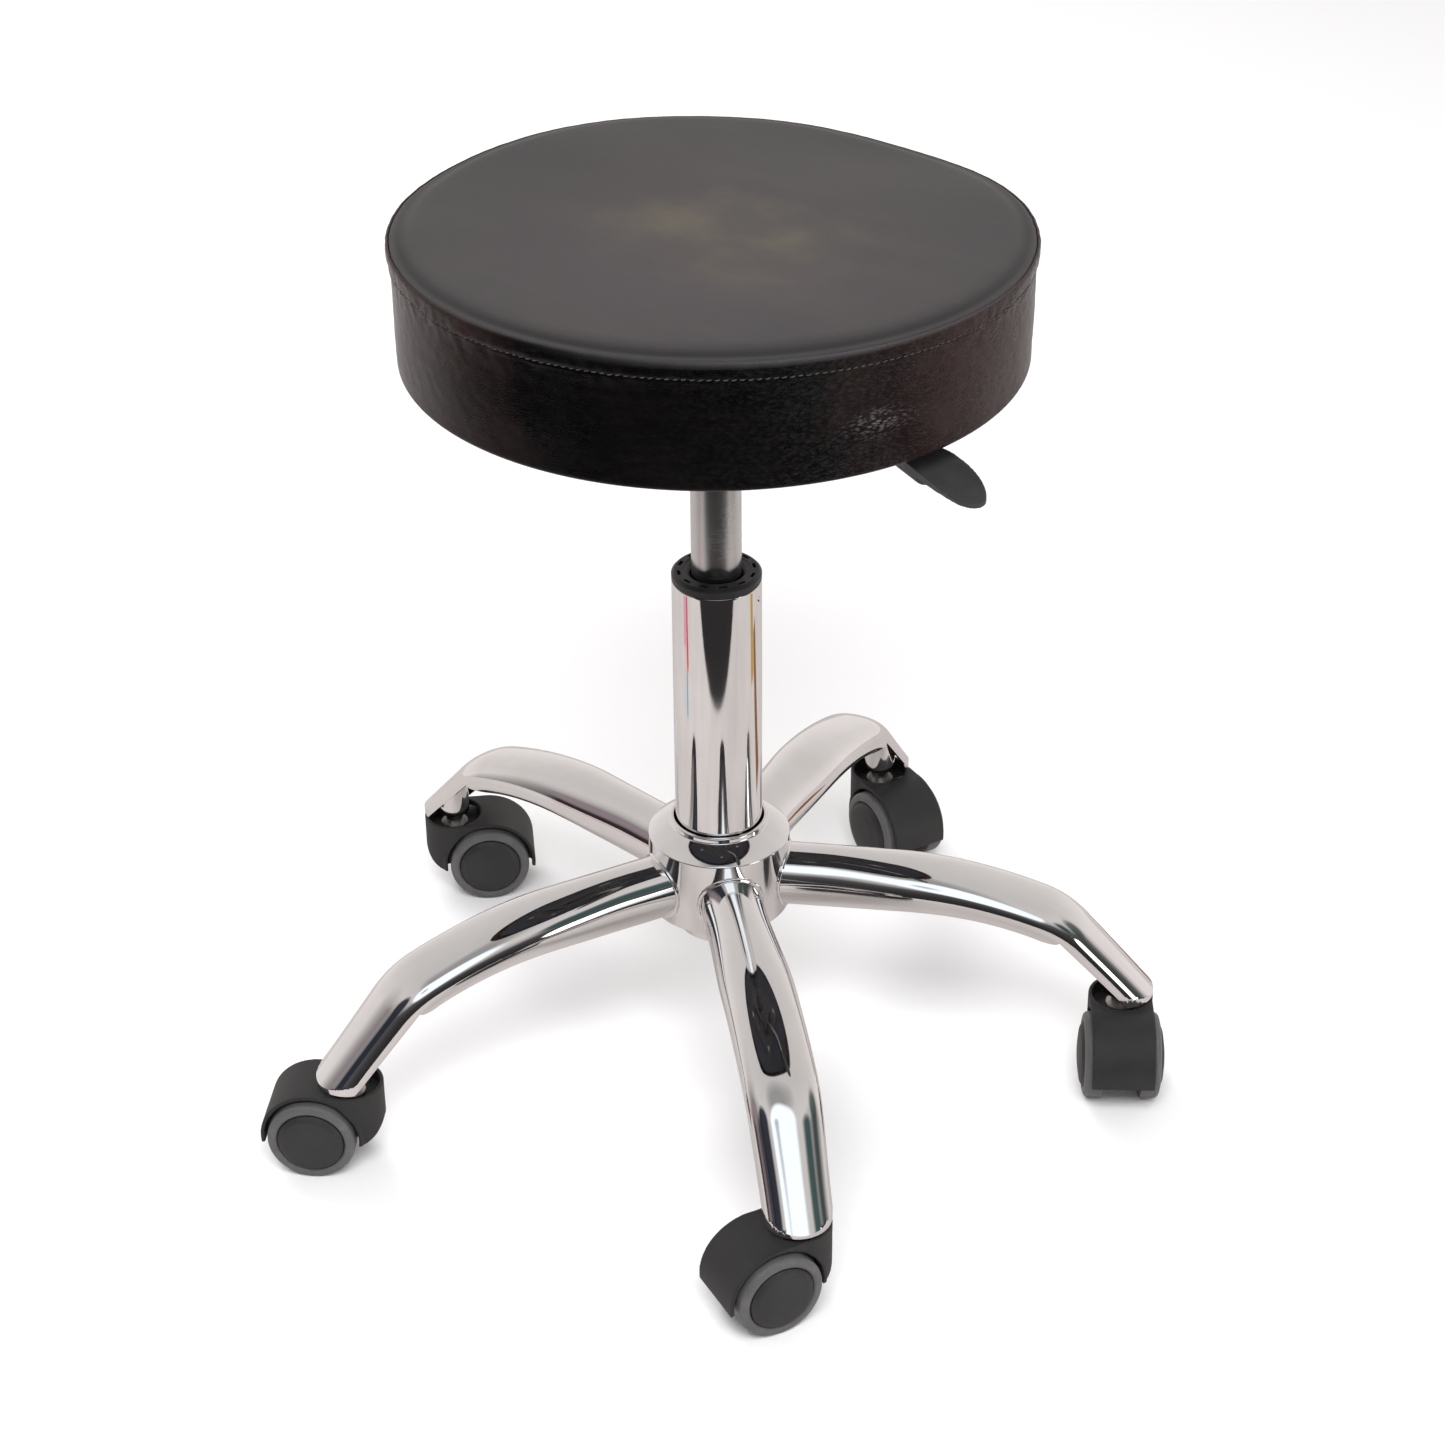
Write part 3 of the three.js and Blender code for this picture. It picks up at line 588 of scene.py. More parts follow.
def band_painted_highlights(p, x, y, z, pebble):
    """Share of painted highlight: painted glints on pebble tops below the dent and faintly
    towards the view's right, and a painted highlight on the corner beside the seam.

    x runs across the view and y away from it."""
    # Painted glints: pebble tops round a spot below the dent, and faintly towards the view's
    # right.
    away = p.away(p.offset(x, 0.080, 0.020), p.offset(z, 0.4815, 0.0085))
    front = p.spread(y, -0.08, -0.05, 1.0, 0.0)
    tops = p.times(p.spread(pebble, 0.15, 0.55, 1.0, 0.0), front)
    painted_glints = p.times(tops, p.spread(away, 0.1, 1.2, 0.5, 0.0))
    painted_glints = p.math("MAXIMUM", painted_glints, p.times(tops, p.spread(x, -0.03, 0.07, 0.0, 0.07)))
    # Painted highlight on the corner beside the seam, stronger towards the view's right.
    height = p.times(p.spread(z, 0.5200, 0.5235), front)
    corner = p.times(height, p.spread(x, -0.10, 0.07, 0.0, 0.38))
    return p.math("MAXIMUM", painted_glints, corner)


def band_vinyl_paint():
    """The seat's side: smoother, pebbled, red-brown towards the view's left and right."""
    p = Paint("seat_vinyl_band", Specular_IOR_Level=0.17)
    turned = p.node("ShaderNodeVectorRotate", Vector=p.place, Angle=-VIEW_TURN)
    x, y, z = p.axes(turned.outputs["Vector"])
    cloud = p.noise(11.0, 5.0, 0.62)
    streak = p.noise(1.0, 5.0, 0.7, p.stretched(24, 24, 190))
    base = p.ramp(cloud, [(0.35, (0.0010, 0.0010, 0.0011)), (0.7, (0.0026, 0.0022, 0.0024))])
    side_tint = p.ramp(cloud, [(0.35, (0.0175, 0.0075, 0.0070)), (0.7, (0.0290, 0.0145, 0.0130))])
    sides = p.math("ABSOLUTE", p.plus(x, 0.018))
    ragged = p.plus(sides, p.spread(cloud, 0.3, 0.7, -0.03, 0.03))
    base = p.mix(p.spread(ragged, 0.07, 0.15), base, side_tint)
    base = p.mix(p.spread(streak, 0.52, 0.75, 0.0, 0.3), base, (0.015, 0.0075, 0.0070))
    pulled = p.stretched(1.0, 1.0, 3.0)
    pebble = p.cells(300.0, pulled)
    crease = p.cells(300.0, pulled, "DISTANCE_TO_EDGE")
    fine = p.noise(1300.0, 3.0, 0.6)
    drawn = p.noise(1.0, 4.0, 0.6, p.stretched(110, 110, 620))
    right = p.spread(x, -0.05, 0.04, 0.35, 1.0)
    patchy = p.times(right, p.spread(p.noise(24.0, 3.0), 0.35, 0.65, 0.5, 1.0))
    # Painted highlights: pale grey painted glints on pebble tops and a painted highlight along
    # the corner beside the seam.
    base = p.mix(band_painted_highlights(p, x, y, z, pebble), base, (0.16, 0.16, 0.168))
    rough = p.spread(cloud, 0.3, 0.7, 0.22, 0.32)
    ridges = p.times(patchy, p.spread(crease, 0.0, 0.16))
    normal = p.bump(ridges, 0.26, 0.8)
    normal = p.bump(p.times(pebble, patchy), 0.26, 0.7, normal)
    normal = p.bump(p.times(drawn, patchy), 0.36, 0.8, normal)
    return p.finish(base, rough, p.bump(fine, 0.04, 0.5, normal))


def thread_paint():
    p = Paint("thread", Roughness=0.6)
    twist = p.noise(1.0, 3.0, 0.6, p.stretched(1500, 1500, 1500))
    colour = p.ramp(twist, [(0.35, (0.03, 0.03, 0.027)), (0.7, (0.095, 0.095, 0.085))])
    return p.finish(colour, None, p.bump(twist, 0.05, 0.6))


def foam_paint():
    p = Paint("foam", Roughness=0.95)
    pores = p.cells(700.0)
    cloud = p.noise(30.0, 4.0)
    colour = p.ramp(cloud, [(0.3, (0.62, 0.54, 0.33)), (0.7, (0.75, 0.68, 0.45))])
    colour = p.mix(p.spread(pores, 0.2, 0.6, 0.35, 0.0), colour, (0.36, 0.29, 0.15))
    return p.finish(colour, None, p.bump(pores, 0.3, 0.6))


def plywood_paint():
    """Board stained blue-black: long grain, pores and dust."""
    p = Paint("stained_board")
    grain = p.noise(1.0, 6.0, 0.7, p.stretched(5, 90, 40))
    pores = p.noise(1.0, 3.0, 0.6, p.stretched(60, 1500, 400))
    dust = p.cells(190.0)
    colour = p.ramp(grain, [(0.3, (0.010, 0.012, 0.018)), (0.7, (0.020, 0.024, 0.036))])
    colour = p.mix(p.spread(pores, 0.6, 0.75, 0.0, 0.6), colour, 0.006)
    colour = p.mix(p.spread(dust, 0.0, 0.06, 0.8, 0.0), colour, (0.22, 0.23, 0.25))
    return p.finish(colour, p.spread(grain, 0.3, 0.7, 0.6, 0.75), p.bump(pores, 0.06, 0.5))


CHROME = chrome_paint()
SATIN = satin_paint()
STEEL = steel_paint()
COAT = coat_paint()
BUSH_PLASTIC = moulded_paint("bush_plastic", (0.014, 0.0137, 0.014), (0.024, 0.0235, 0.024),
                             0.40, 900.0, 0.05)
HOOD_PLASTIC = moulded_paint("hood_plastic", (0.015, 0.0148, 0.0147), (0.025, 0.0243, 0.024),
                             0.50, 1100.0, 0.07)
CAP_PLASTIC = moulded_paint("cap_plastic", (0.019, 0.0188, 0.0188), (0.029, 0.0286, 0.0286),
                            0.44, 1300.0, 0.04)
LEVER_PLASTIC = moulded_paint("lever_plastic", (0.032, 0.0315, 0.0315), (0.048, 0.047, 0.047),
                              0.42, 1200.0, 0.05)
TREAD = tread_paint()
RUBBER = rubber_paint()
TOP_VINYL = top_vinyl_paint()
BAND_VINYL = band_vinyl_paint()
THREAD = thread_paint()
FOAM = foam_paint()
PLYWOOD = plywood_paint()

for node, material in {
    "thrust_bearing": STEEL,
    "piston_rod": SATIN,
    "retaining_clip": STEEL,
    "bump_stop": RUBBER,
    "release_button": STEEL,
    "seat_plate": COAT,
    "seat_board": PLYWOOD,
    "lever_rod": STEEL,
    **{f"plate_bolt_{i}": STEEL for i in range(1, 5)},
    **{f"caster_stem_{i}": STEEL for i in range(1, LEG_COUNT + 1)},
    **{f"caster_axle_{i}": STEEL for i in range(1, LEG_COUNT + 1)},
}.items():
    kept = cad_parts[node]
    kept.data.materials.clear()
    kept.data.materials.append(material)
    mark_edges(kept, 35)


# --- base ---


def build_column():
    """Chromed outer tube: a little narrower at its foot, with two punch marks near its top."""
    foot = [(22.5, 90, 0), (22.5, 86, 0), (24, 86, 1.0), (25, 160, 30), (25, 160.5, 0)]
    top = [(COLUMN_RADIUS, COLUMN_TOP, 0.4), (COLUMN_RADIUS - COLUMN_WALL, COLUMN_TOP, 0.4),
           (COLUMN_RADIUS - COLUMN_WALL, 160, 0)]
    side = [(COLUMN_RADIUS, z, 0) for z in np.arange(164, COLUMN_TOP - 26, 8)]
    marks = [(COLUMN_RADIUS, z, 0) for z in np.arange(COLUMN_TOP - 24, COLUMN_TOP - 1.2, 0.6)]
    points, faces = lathe(rounded(foot + side + marks + top, closed=True), 320)
    points = np.array(points)
    for azimuth, height in PUNCH_MARKS:
        angle = np.degrees(np.arctan2(points[:, 1], points[:, 0])) - azimuth
        across = np.radians((angle + 180) % 360 - 180) * COLUMN_RADIUS
        away = np.hypot(across / 1.5, (points[:, 2] - height) / 2.4)
        outside = np.hypot(points[:, 0], points[:, 1]) > COLUMN_RADIUS - 0.6
        depth = np.where(outside, 0.9 * np.clip(1 - away ** 2, 0, 1), 0)
        points[:, :2] *= (1 - depth / COLUMN_RADIUS)[:, None]
    obj = even_normals(make("column", points, faces))
    fit(obj, CHROME, "base", "polished_chrome", "lift_column")


def build_hub():
    """Sleeve with a rolled lip, a cone and a skirt that carries the legs."""
    sleeve = COLUMN_RADIUS + 0.45
    corners = [
        (sleeve - 0.5, 96, 0.4), (sleeve + 2.5, 96, 0.4), (sleeve + 2.5, HUB_TOP - 8, 2),
        (HUB_RADIUS - 2.5, HUB_SHOULDER - 2, 1.5), (HUB_RADIUS - 2.5, HUB_BOTTOM, 0.5),
        (HUB_RADIUS, HUB_BOTTOM, 0.7), (HUB_RADIUS, HUB_SHOULDER, 0.9), *hub_cone(),
        (sleeve + 2.9, HUB_TOP - 3.2, 1.2), (sleeve + 2.6, HUB_TOP, 1.1),
        (sleeve + 0.6, HUB_TOP, 0.5), (sleeve + 0.6, 151, 0.3), (sleeve, 150, 0),
    ]
    obj = even_normals(make("hub", *lathe(rounded(corners, closed=True, steps=7), 256)))
    fit(obj, CHROME, "base", "polished_chrome", "base_hub")


def hub_cone():
    """Points between the hub's shoulder and its lip, bulging a little."""
    low, high = Vector((HUB_RADIUS, HUB_SHOULDER)), Vector((COLUMN_RADIUS + 3.35, HUB_TOP - 3.2))
    outward = Vector((high.y - low.y, low.x - high.x)).normalized()
    shares = [k / 12 for k in range(1, 12)]
    points = [low.lerp(high, t) + outward * (0.6 * 4 * t * (1 - t)) for t in shares]
    return [(x, y, 0) for x, y in points]


def build_bush():
    """Plastic bush in the column's mouth, with twelve slots moulded in its rim."""
    top = COLUMN_TOP + 0.3 + 5.5
    bore = TUBE_RADIUS + 0.7
    skirt = COLUMN_RADIUS - 1.8
    corners = [
        (bore, top - 66, 0.3), (skirt, top - 66, 0.5), (skirt, COLUMN_TOP + 0.3, 0.3),
        (COLUMN_RADIUS, COLUMN_TOP + 0.3, 0.3), (COLUMN_RADIUS + 0.1, top - 1.6, 0.9),
        (COLUMN_RADIUS - 1.5, top, 0.7), (19.2, top, 0.2), (18.9, top - 0.45, 0.2),
        (bore + 1.9, top - 0.45, 0.5), (bore, top - 2.2, 0.7),
    ]
    obj = make("bush", *lathe(rounded(corners, closed=True, steps=4), 192))
    for k in range(12):
        slot = block((20.2, 22.0), (-2.5, 2.5), (top - 3.6, top + 2))
        slot.data.transform(Matrix.Rotation(radians(16.5 + 30 * k), 4, "Z"))
        cut(obj, slot)
    mark_edges(obj, 38)
    fit(even_normals(obj), BUSH_PLASTIC, "base", "black_plastic", "guide_bush")


def leg_turn(k):
    """Turns a leg built along +X to the place of leg k, counted from 0."""
    return Matrix.Rotation(radians(FIRST_LEG_AZIMUTH + LEG_STEP * k), 4, "Z")


def leg_stations():
    """The leg's centre line as (distance, height, slope), level at the hub."""
    stations = [(x, LEG_AXIS_Z, 0.0) for x in np.arange(HUB_RADIUS - 8, LEG_STRAIGHT_END, 3)]
    bow, tip = radians(LEG_BOW_ANGLE), radians(LEG_TIP_ANGLE)
    for a in np.linspace(0, bow, 42):
        stations.append((LEG_STRAIGHT_END + LEG_BOW_RADIUS * sin(a),
                         LEG_AXIS_Z - LEG_BOW_RADIUS * (1 - cos(a)), a))
    x, z, _ = stations[-1]
    centre = (x - LEG_BEND_RADIUS * sin(bow), z - LEG_BEND_RADIUS * cos(bow))
    for a in np.linspace(bow, tip, 17)[1:]:
        stations.append((centre[0] + LEG_BEND_RADIUS * sin(a),
                         centre[1] + LEG_BEND_RADIUS * cos(a), a))
    x, z, _ = stations[-1]
    for s in np.linspace(0, LEG_LAST_STRETCH, 26)[1:]:
        stations.append((x + s * cos(tip), z - s * sin(tip), tip))
    return stations


def leg_section(distance):
    wide = LEG_ROUND + 2.5 * smoothstep(distance, 60, 125) - 1.8 * smoothstep(distance, 185, 240)
    high = LEG_ROUND - 5.8 * smoothstep(distance, 55, 190)
    square = 2 + 0.3 * smoothstep(distance, 60, 200)
    return wide, high, square


def leg_body(inset, around):
    points = []
    stations = leg_stations()
    for x, z, slope in stations:
        wide, high, square = leg_section(x)
        for a in turns(around):
            c, s = cos(a), sin(a)
            swell = (abs(c) ** square + abs(s) ** square) ** (-1 / square)
            across, up = c * swell * (wide - inset), s * swell * (high - inset)
            points.append((x + sin(slope) * up, across, z + cos(slope) * up))
    rows = loops(len(stations), around)
    return make("leg", points, quilt(rows) + [rows[0], rows[-1]])


def nose_limit(radius):
    """Everything inward of the caster's stem, with a round end about it."""
    inward = block((0, STEM_CIRCLE), (-radius - 6, radius + 6), (0, 200))
    return join(inward, post(radius, 0, 200, STEM_CIRCLE, 0, 128))


def mouth_cutter():
    """The scooped opening under the leg's tip."""
    half, reach, depth = 20.9, 90.0, 45.0
    outline = [(reach, -half), (reach, half)]
    for a in np.linspace(pi / 2, 3 * pi / 2, 41):
        outline.append((half * cos(a), half * sin(a)))
    obj = prism("mouth", outline, -depth, 0.0)
    turn = Matrix.Rotation(radians(MOUTH_SLOPE), 4, "Y")
    obj.data.transform(Matrix.Translation((MOUTH_X * MM, 0, MOUTH_Z * MM)) @ turn)
    return obj


def build_legs():
    outer = keep(leg_body(0, 96), nose_limit(NOSE_RADIUS))
    inner = keep(leg_body(LEG_WALL, 64), nose_limit(NOSE_RADIUS - LEG_WALL))
    boss = keep(post(BOSS_RADIUS, LEG_TRIM_Z, 105, STEM_CIRCLE, 0, 64), leg_body(0.6, 64))
    leg = cut(outer, inner)
    cut(leg, mouth_cutter())
    cut(leg, block((150, 300), (-40, 40), (0, LEG_TRIM_Z)))
    join(leg, boss)
    cut(leg, post(STEM_ROOM, 50, 73, STEM_CIRCLE, 0, 48))
    cut(leg, post(HUB_RADIUS - 0.1, 60, 200, 0, 0, 256))
    mark_edges(leg, 40)
    edge = leg.modifiers.new("edge", "BEVEL")
    edge.limit_method = "ANGLE"
    edge.angle_limit = radians(50)
    edge.width = 0.35 * MM
    edge.segments = 2
    bake(leg)
    mark_edges(leg, 40)
    even_normals(leg)
    for k in range(LEG_COUNT):
        piece = copy_of(leg, f"leg_tube_{k + 1}", leg_turn(k))
        fit(piece, CHROME, "base", "polished_chrome", f"leg_{k + 1}")
    bpy.data.objects.remove(leg)


def build_welds():
    """A bead of weld where each leg meets the hub."""
    around, section = 96, 10
    ring = LEG_ROUND + 0.15
    points = []
    for a in turns(around):
        y, z = ring * cos(a), LEG_AXIS_Z + ring * sin(a)
        x = sqrt(HUB_RADIUS ** 2 - y * y)
        size = 1.25 + 0.35 * noise.noise(Vector((4 * cos(a), 4 * sin(a), 0.3)))
        outward = Vector((x, y, 0)).normalized()
        away = Vector((0, cos(a), sin(a)))
        away = (away - outward * away.dot(outward)).normalized()
        for b in turns(section):
            side = outward * cos(b) + away * sin(b)
            points.append(Vector((x, y, z)) + side * size)
    bead = make("weld", points, quilt(loops(around, section), ring=True))
    for k in range(LEG_COUNT):
        fit(copy_of(bead, f"weld_{k + 1}", leg_turn(k)), CHROME, "base", "polished_chrome")
    bpy.data.objects.remove(bead)


# --- gas spring ---


def build_tube():
    corners = [
        (0, 424, 0), (3.3, 424, 0), (3.3, 440, 0.3), (TUBE_TOP_RADIUS, 440, 0.6),
        (TUBE_RADIUS, 404, 20), (TUBE_RADIUS, 200, 0.8), (5.3, 200, 0.5), (5.3, 212, 0),
        (12, 212, 0), (12, 418, 0), (0, 418, 0),
    ]
    obj = even_normals(make("gas_tube", *lathe(rounded(corners), 192)))
    fit(obj, SATIN, "seat", "satin_chrome", "gas_cylinder")


# --- casters ---


def build_hood():
    """Hood about a stem at the origin, trailing along +X."""
    hood = axle(HOOD_RADIUS, -HOOD_HALF_WIDTH, HOOD_HALF_WIDTH, 128)
    join(hood, post(CUP_RADIUS, HOOD_BOTTOM, CUP_TOP, 0, 0, 128))
    join(hood, block((0, CASTER_TRAIL), (-HOOD_HALF_WIDTH + 0.01, HOOD_HALF_WIDTH - 0.01),
                     (HOOD_BOTTOM, CUP_TOP - 0.4)))
    corner = 12.8
    chin = block((-CUP_RADIUS - 5, -CUP_RADIUS + corner), (-25, 25),
                 (HOOD_BOTTOM - 5, HOOD_BOTTOM + corner))
    roll = axle(corner, -30, 30, 96)
    forward, up = corner - CUP_RADIUS - CASTER_TRAIL, HOOD_BOTTOM + corner - WHEEL_RADIUS
    roll.data.transform(Matrix.Translation((forward * MM, 0, up * MM)))
    cut(hood, cut(chin, roll))
    cut(hood, block((-60, 90), (-40, 40), (-40, HOOD_BOTTOM)))
    tail = block((0, 60), (-40, 40), (-60, 0))
    tail.data.transform(Matrix.Translation((CASTER_TRAIL * MM, 0, WHEEL_RADIUS * MM))
                        @ Matrix.Rotation(radians(8), 4, "Y"))
    cut(hood, tail)
    for low, high in ((-40, -WEB_HALF_WIDTH), (WEB_HALF_WIDTH, 40)):
        cut(hood, axle(WHEEL_ROOM, low, high, 128))
    join(hood, axle(9, -WEB_HALF_WIDTH + 0.01, WEB_HALF_WIDTH - 0.01, 64))
    cut(hood, post(CUP_RADIUS - 2.2, CUP_FLOOR, CUP_TOP + 10, 0, 0, 96))
    cut(hood, post(STEM_ROOM, 26.4, CUP_FLOOR + 10, 0, 0, 48))
    cut(hood, axle(AXLE_ROOM, -30, 30, 48))
    return soften(hood, 0.62, 5)


def wheel_parts(side):
    """Cap and tread of one wheel, turned about the caster's axle."""
    cap_corners = [
        (0, WHEEL_INNER, 0), (CORE_RADIUS - 0.1, WHEEL_INNER, 0.5),
        (CORE_RADIUS - 0.1, TREAD_OUTER - 0.1, 0.7), (16.5, TREAD_OUTER + 1.9, 5),
        (9, CAP_OUTER - 0.55, 12), (0, CAP_OUTER, 0),
    ]
    tread_corners = [
        (CORE_RADIUS + 0.25, WHEEL_INNER, 0.4), (WHEEL_RADIUS, WHEEL_INNER, 0.9),
        (WHEEL_RADIUS, TREAD_OUTER - 0.6, 4.4), (CORE_RADIUS + 1.5, TREAD_OUTER + 0.5, 1.4),
        (CORE_RADIUS + 0.25, TREAD_OUTER - 0.6, 0.5),
    ]
    cap = make("cap", *lathe(rounded(cap_corners, steps=8), 128))
    tread = make("tread", *lathe(rounded(tread_corners, closed=True, steps=8), 128))
    flip = Matrix.Rotation(pi, 4, "X") if side < 0 else Matrix.Identity(4)
    for obj in (cap, tread):
        obj.data.transform(axle_place() @ flip)
        even_normals(obj)
    return cap, tread


def build_casters():
    hood = build_hood()
    wheels = {"left": wheel_parts(1), "right": wheel_parts(-1)}
    for k in range(LEG_COUNT):
        number = k + 1
        stem = leg_turn(k) @ Vector((STEM_CIRCLE * MM, 0, 0))
        place = (Matrix.Translation(stem)
                 @ Matrix.Rotation(radians(CASTER_HEADINGS[k]), 4, "Z"))
        fit(copy_of(hood, f"hood_{number}", place), HOOD_PLASTIC, f"caster_{number}",
            "hood_plastic", f"caster_hood_{number}")
        for side, (cap, tread) in wheels.items():
            body = f"wheel_{side}_{number}"
            fit(copy_of(cap, f"cap_{side}_{number}", place), CAP_PLASTIC, body,
                "cap_plastic", f"wheel_{side}_{number}")
            fit(copy_of(tread, f"tyre_{side}_{number}", place), TREAD, body,
                "grey_tread", f"tread_{side}_{number}")
    for obj in (hood, *wheels["left"], *wheels["right"]):
        bpy.data.objects.remove(obj)


# --- lever ---


def bezier(start, first, second, end, count):
    t = np.linspace(0, 1, count)[:, None]
    start, first, second, end = (np.array(p, float) for p in (start, first, second, end))
    return ((1 - t) ** 3 * start + 3 * (1 - t) ** 2 * t * first
            + 3 * (1 - t) * t ** 2 * second + t ** 3 * end).tolist()


def paddle_outline():
    """The tongue seen from above, along +X from the lever's bend, as joined curves."""
    curves = (
        ((34, -7), (42, -7.5), (50, -8.5), (58, -10), 6),
        ((58, -10), (78, -10.5), (96, -10.5), (108, -8.5), 16),
        ((108, -8.5), (116.5, -6.5), (118.5, 0), (113, 4.5), 16),
        ((113, 4.5), (104, 11), (92, 15.5), (72, 16.5), 16),
        ((72, 16.5), (64, 16.5), (60, 16), (56, 14.8), 8),
        ((56, 14.8), (48, 12), (42, 8.5), (34, 7), 8),
    )
    outline = [curves[0][0]]
    for curve in curves:
        outline += bezier(*curve)[1:]
    return outline


def shape_tongue(paddle):
    """Hollows the tongue's top a little and thins it towards its tip from below."""
    points = np.array([v.co for v in paddle.data.vertices]) / MM
    inward = np.clip(1 - np.hypot((points[:, 0] - 88) / 30, (points[:, 1] - 2) / 12), 0, 1)
    points[:, 2] -= np.where(points[:, 2] > PADDLE_TOP - 1.2, 0.9 * inward ** 0.7, 0)
    tip = between(points[:, 0], 62, 112)
    below = np.clip((PADDLE_TOP - 0.5 - points[:, 2]) / (PADDLE_THICKNESS - 0.5), 0, 1.2)
    points[:, 2] += 2.9 * below * tip ** 0.8
    paddle.data.vertices.foreach_set("co", (points * MM).astype(np.float32).ravel())


def build_paddle():
    """Flat tongue with a sleeve under it that grips the rod."""
    paddle = prism("paddle", paddle_outline(), PADDLE_TOP - PADDLE_THICKNESS, PADDLE_TOP)
    along = Matrix.Translation((54 * MM, 0, SLEEVE_Z * MM)) @ Matrix.Rotation(pi / 2, 4, "Y")
    sleeve = make("sleeve", *lathe([(0, -26), (7, -26), (6.6, 10), (0, 14)], 64))
    sleeve.data.transform(along)
    keep(sleeve, block((0, 200), (-40, 40), (SLEEVE_Z - 20, PADDLE_TOP - 0.5)))
    join(paddle, sleeve)
    bore = make("bore", *lathe([(0, -30), (3.8, -30), (3.8, 13), (0, 13)], 48))
    bore.data.transform(along)
    cut(paddle, bore)
    soften(paddle, 0.5, 4)
    shape_tongue(paddle)
    paddle.data.transform(Matrix.Translation((LEVER_BEND_X * MM, 0, 0))
                          @ Matrix.Rotation(radians(LEVER_ANGLE), 4, "Z"))
    paddle.name = "paddle"
    fit(paddle, LEVER_PLASTIC, "lever", "black_plastic", "lever_paddle")


# --- cushion ---

TOP_ROWS = 34
SEAT_SEGMENTS = 512
SIM_SEGMENTS = 96
SIM_FRAMES = 20
PAD_RINGS = 40
MOST_MOVED = 4.0
SWELL_GAIN = 1.6
COVER_DEPTH = 1.4
BAND_DEPTH = 1.3
STITCH_PITCH = 4.0

# The dent's hollow, the ridge below it, a crease and a pull above it: how far each stands out,
# its middle and reach across, then its height, slope and reach up and down.
DENT_FOLDS = (
    (-2.4, -1, 11, 489.5, 0, 6.5),
    (1.5, 3, 12, 478.5, 0, 5.5),
    (-0.9, 10, 7, 487, -0.25, 2.2),
    (-0.5, -2, 16, 503.5, 0.15, 2.2),
)


def top_outline():
    """The top panel from the middle, down its sloping edge, to the seam's groove."""
    drop = CROWN_Z - TOP_EDGE_Z
    radii = np.linspace(0, TOP_FLAT, TOP_ROWS)
    crown = [(r, CROWN_Z - drop * (r / TOP_FLAT) ** 2.2) for r in radii]
    slope = [(157.0, 523.65), (159.0, 522.95), (161.0, 522.15), (162.6, 521.55), (164.0, 521.2),
             (165.2, 521.05), (166.0, 520.85), (166.6, 520.4), (166.95, 519.95)]
    return crown + slope + [(SEAM_RADIUS, SEAM_Z)]


def band_outline():
    """The side band from the seam over the corner, down the side and under the edge."""
    corner = [(SEAM_RADIUS, SEAM_Z), (167.25, 520.1), (167.6, 520.45), (168.05, 520.4),
              (168.45, 520.1), (168.7, 519.6), (168.85, 518.9), (168.9, 518.0), (168.85, 517.0),
              (168.8, 516.0), (168.75, 514.8), (168.65, 513.7), (168.45, 512.9), (168.05, 512.3)]
    groove = [(167.8, STITCH_Z), (167.75, STITCH_Z - 0.3), (167.8, STITCH_Z - 0.8),
              (167.95, STITCH_Z - 1.4)]
    side = []
    for z in np.linspace(STITCH_Z - 2.4, 461, 46):
        t = (z - 461) / (STITCH_Z - 1 - 461)
        side.append((BAND_RADIUS + 1.1 * t ** 5 + 0.35 * sin(pi * min(1, 1.15 * t)), z))
    low = rounded([(BAND_RADIUS, 460, 0), (BAND_RADIUS, SEAT_BOTTOM, 4.2),
                   (158, SEAT_BOTTOM, 0)], steps=8)
    under = [(155, SEAT_BOTTOM), (151, SEAT_BOTTOM), (147.2, SEAT_BOTTOM + 0.1),
             (HEM_RADIUS, SEAT_BOTTOM + 0.6)]
    return corner + groove + side + low + under


def lengths(outline):
    """Distance along an outline to each of its points."""
    steps = [dist(a, b) for a, b in zip(outline, outline[1:])]
    return np.concatenate([[0.0], np.cumsum(steps)])


OUTER = top_outline() + band_outline()[1:]
OUTER_LENGTHS = lengths(OUTER)
OUTER_TOTAL = OUTER_LENGTHS[-1]
SEAM_LENGTH = OUTER_LENGTHS[len(top_outline()) - 1]


def at_length(s):
    """Point of the whole outer outline at a distance along it."""
    r = np.interp(s, OUTER_LENGTHS, [p[0] for p in OUTER])
    z = np.interp(s, OUTER_LENGTHS, [p[1] for p in OUTER])
    return r, z


def nearest(r, z):
    """Number of the outer outline's point nearest to a place."""
    return min(range(len(OUTER)), key=lambda i: dist(OUTER[i], (r, z)))


def pad_outline():
    """The whole outer outline again, as evenly spaced rings."""
    stops = np.linspace(0, OUTER_TOTAL, PAD_RINGS)
    return [tuple(float(v) for v in at_length(s)) for s in stops]


def plain_pad(outline):
    """A closed pad with slight ripples in its side, where the cloth starts from."""
    points, faces = lathe(outline + [(0, SEAT_BOTTOM + 0.6)], SIM_SEGMENTS)
    points = np.array(points)
    for i, (x, y, z) in enumerate(points):
        if z > SEAT_BOTTOM + 4 and hypot(x, y) > 5:
            ripple = noise.noise(Vector((x / 38, y / 38, z / 26)))
            points[i, :2] *= 1 + 0.006 * ripple * smoothstep(hypot(x, y), 120, 165)
    return make("pad", points, faces)


def hold_pad(pad):
    """Holds the pad under its board and, less firmly, at its seam."""
    held = pad.vertex_groups.new(name="held")
    seam = at_length(SEAM_LENGTH)
    near = 0.8 * OUTER_TOTAL / (PAD_RINGS - 1)
    for i, v in enumerate(pad.data.vertices):
        radius, height = hypot(v.co.x, v.co.y) / MM, v.co.z / MM
        if height < SEAT_BOTTOM + 3.5:
            held.add([i], 1.0, "REPLACE")
        elif height > 505 and dist((radius, height), seam) < near:
            held.add([i], 0.85, "REPLACE")


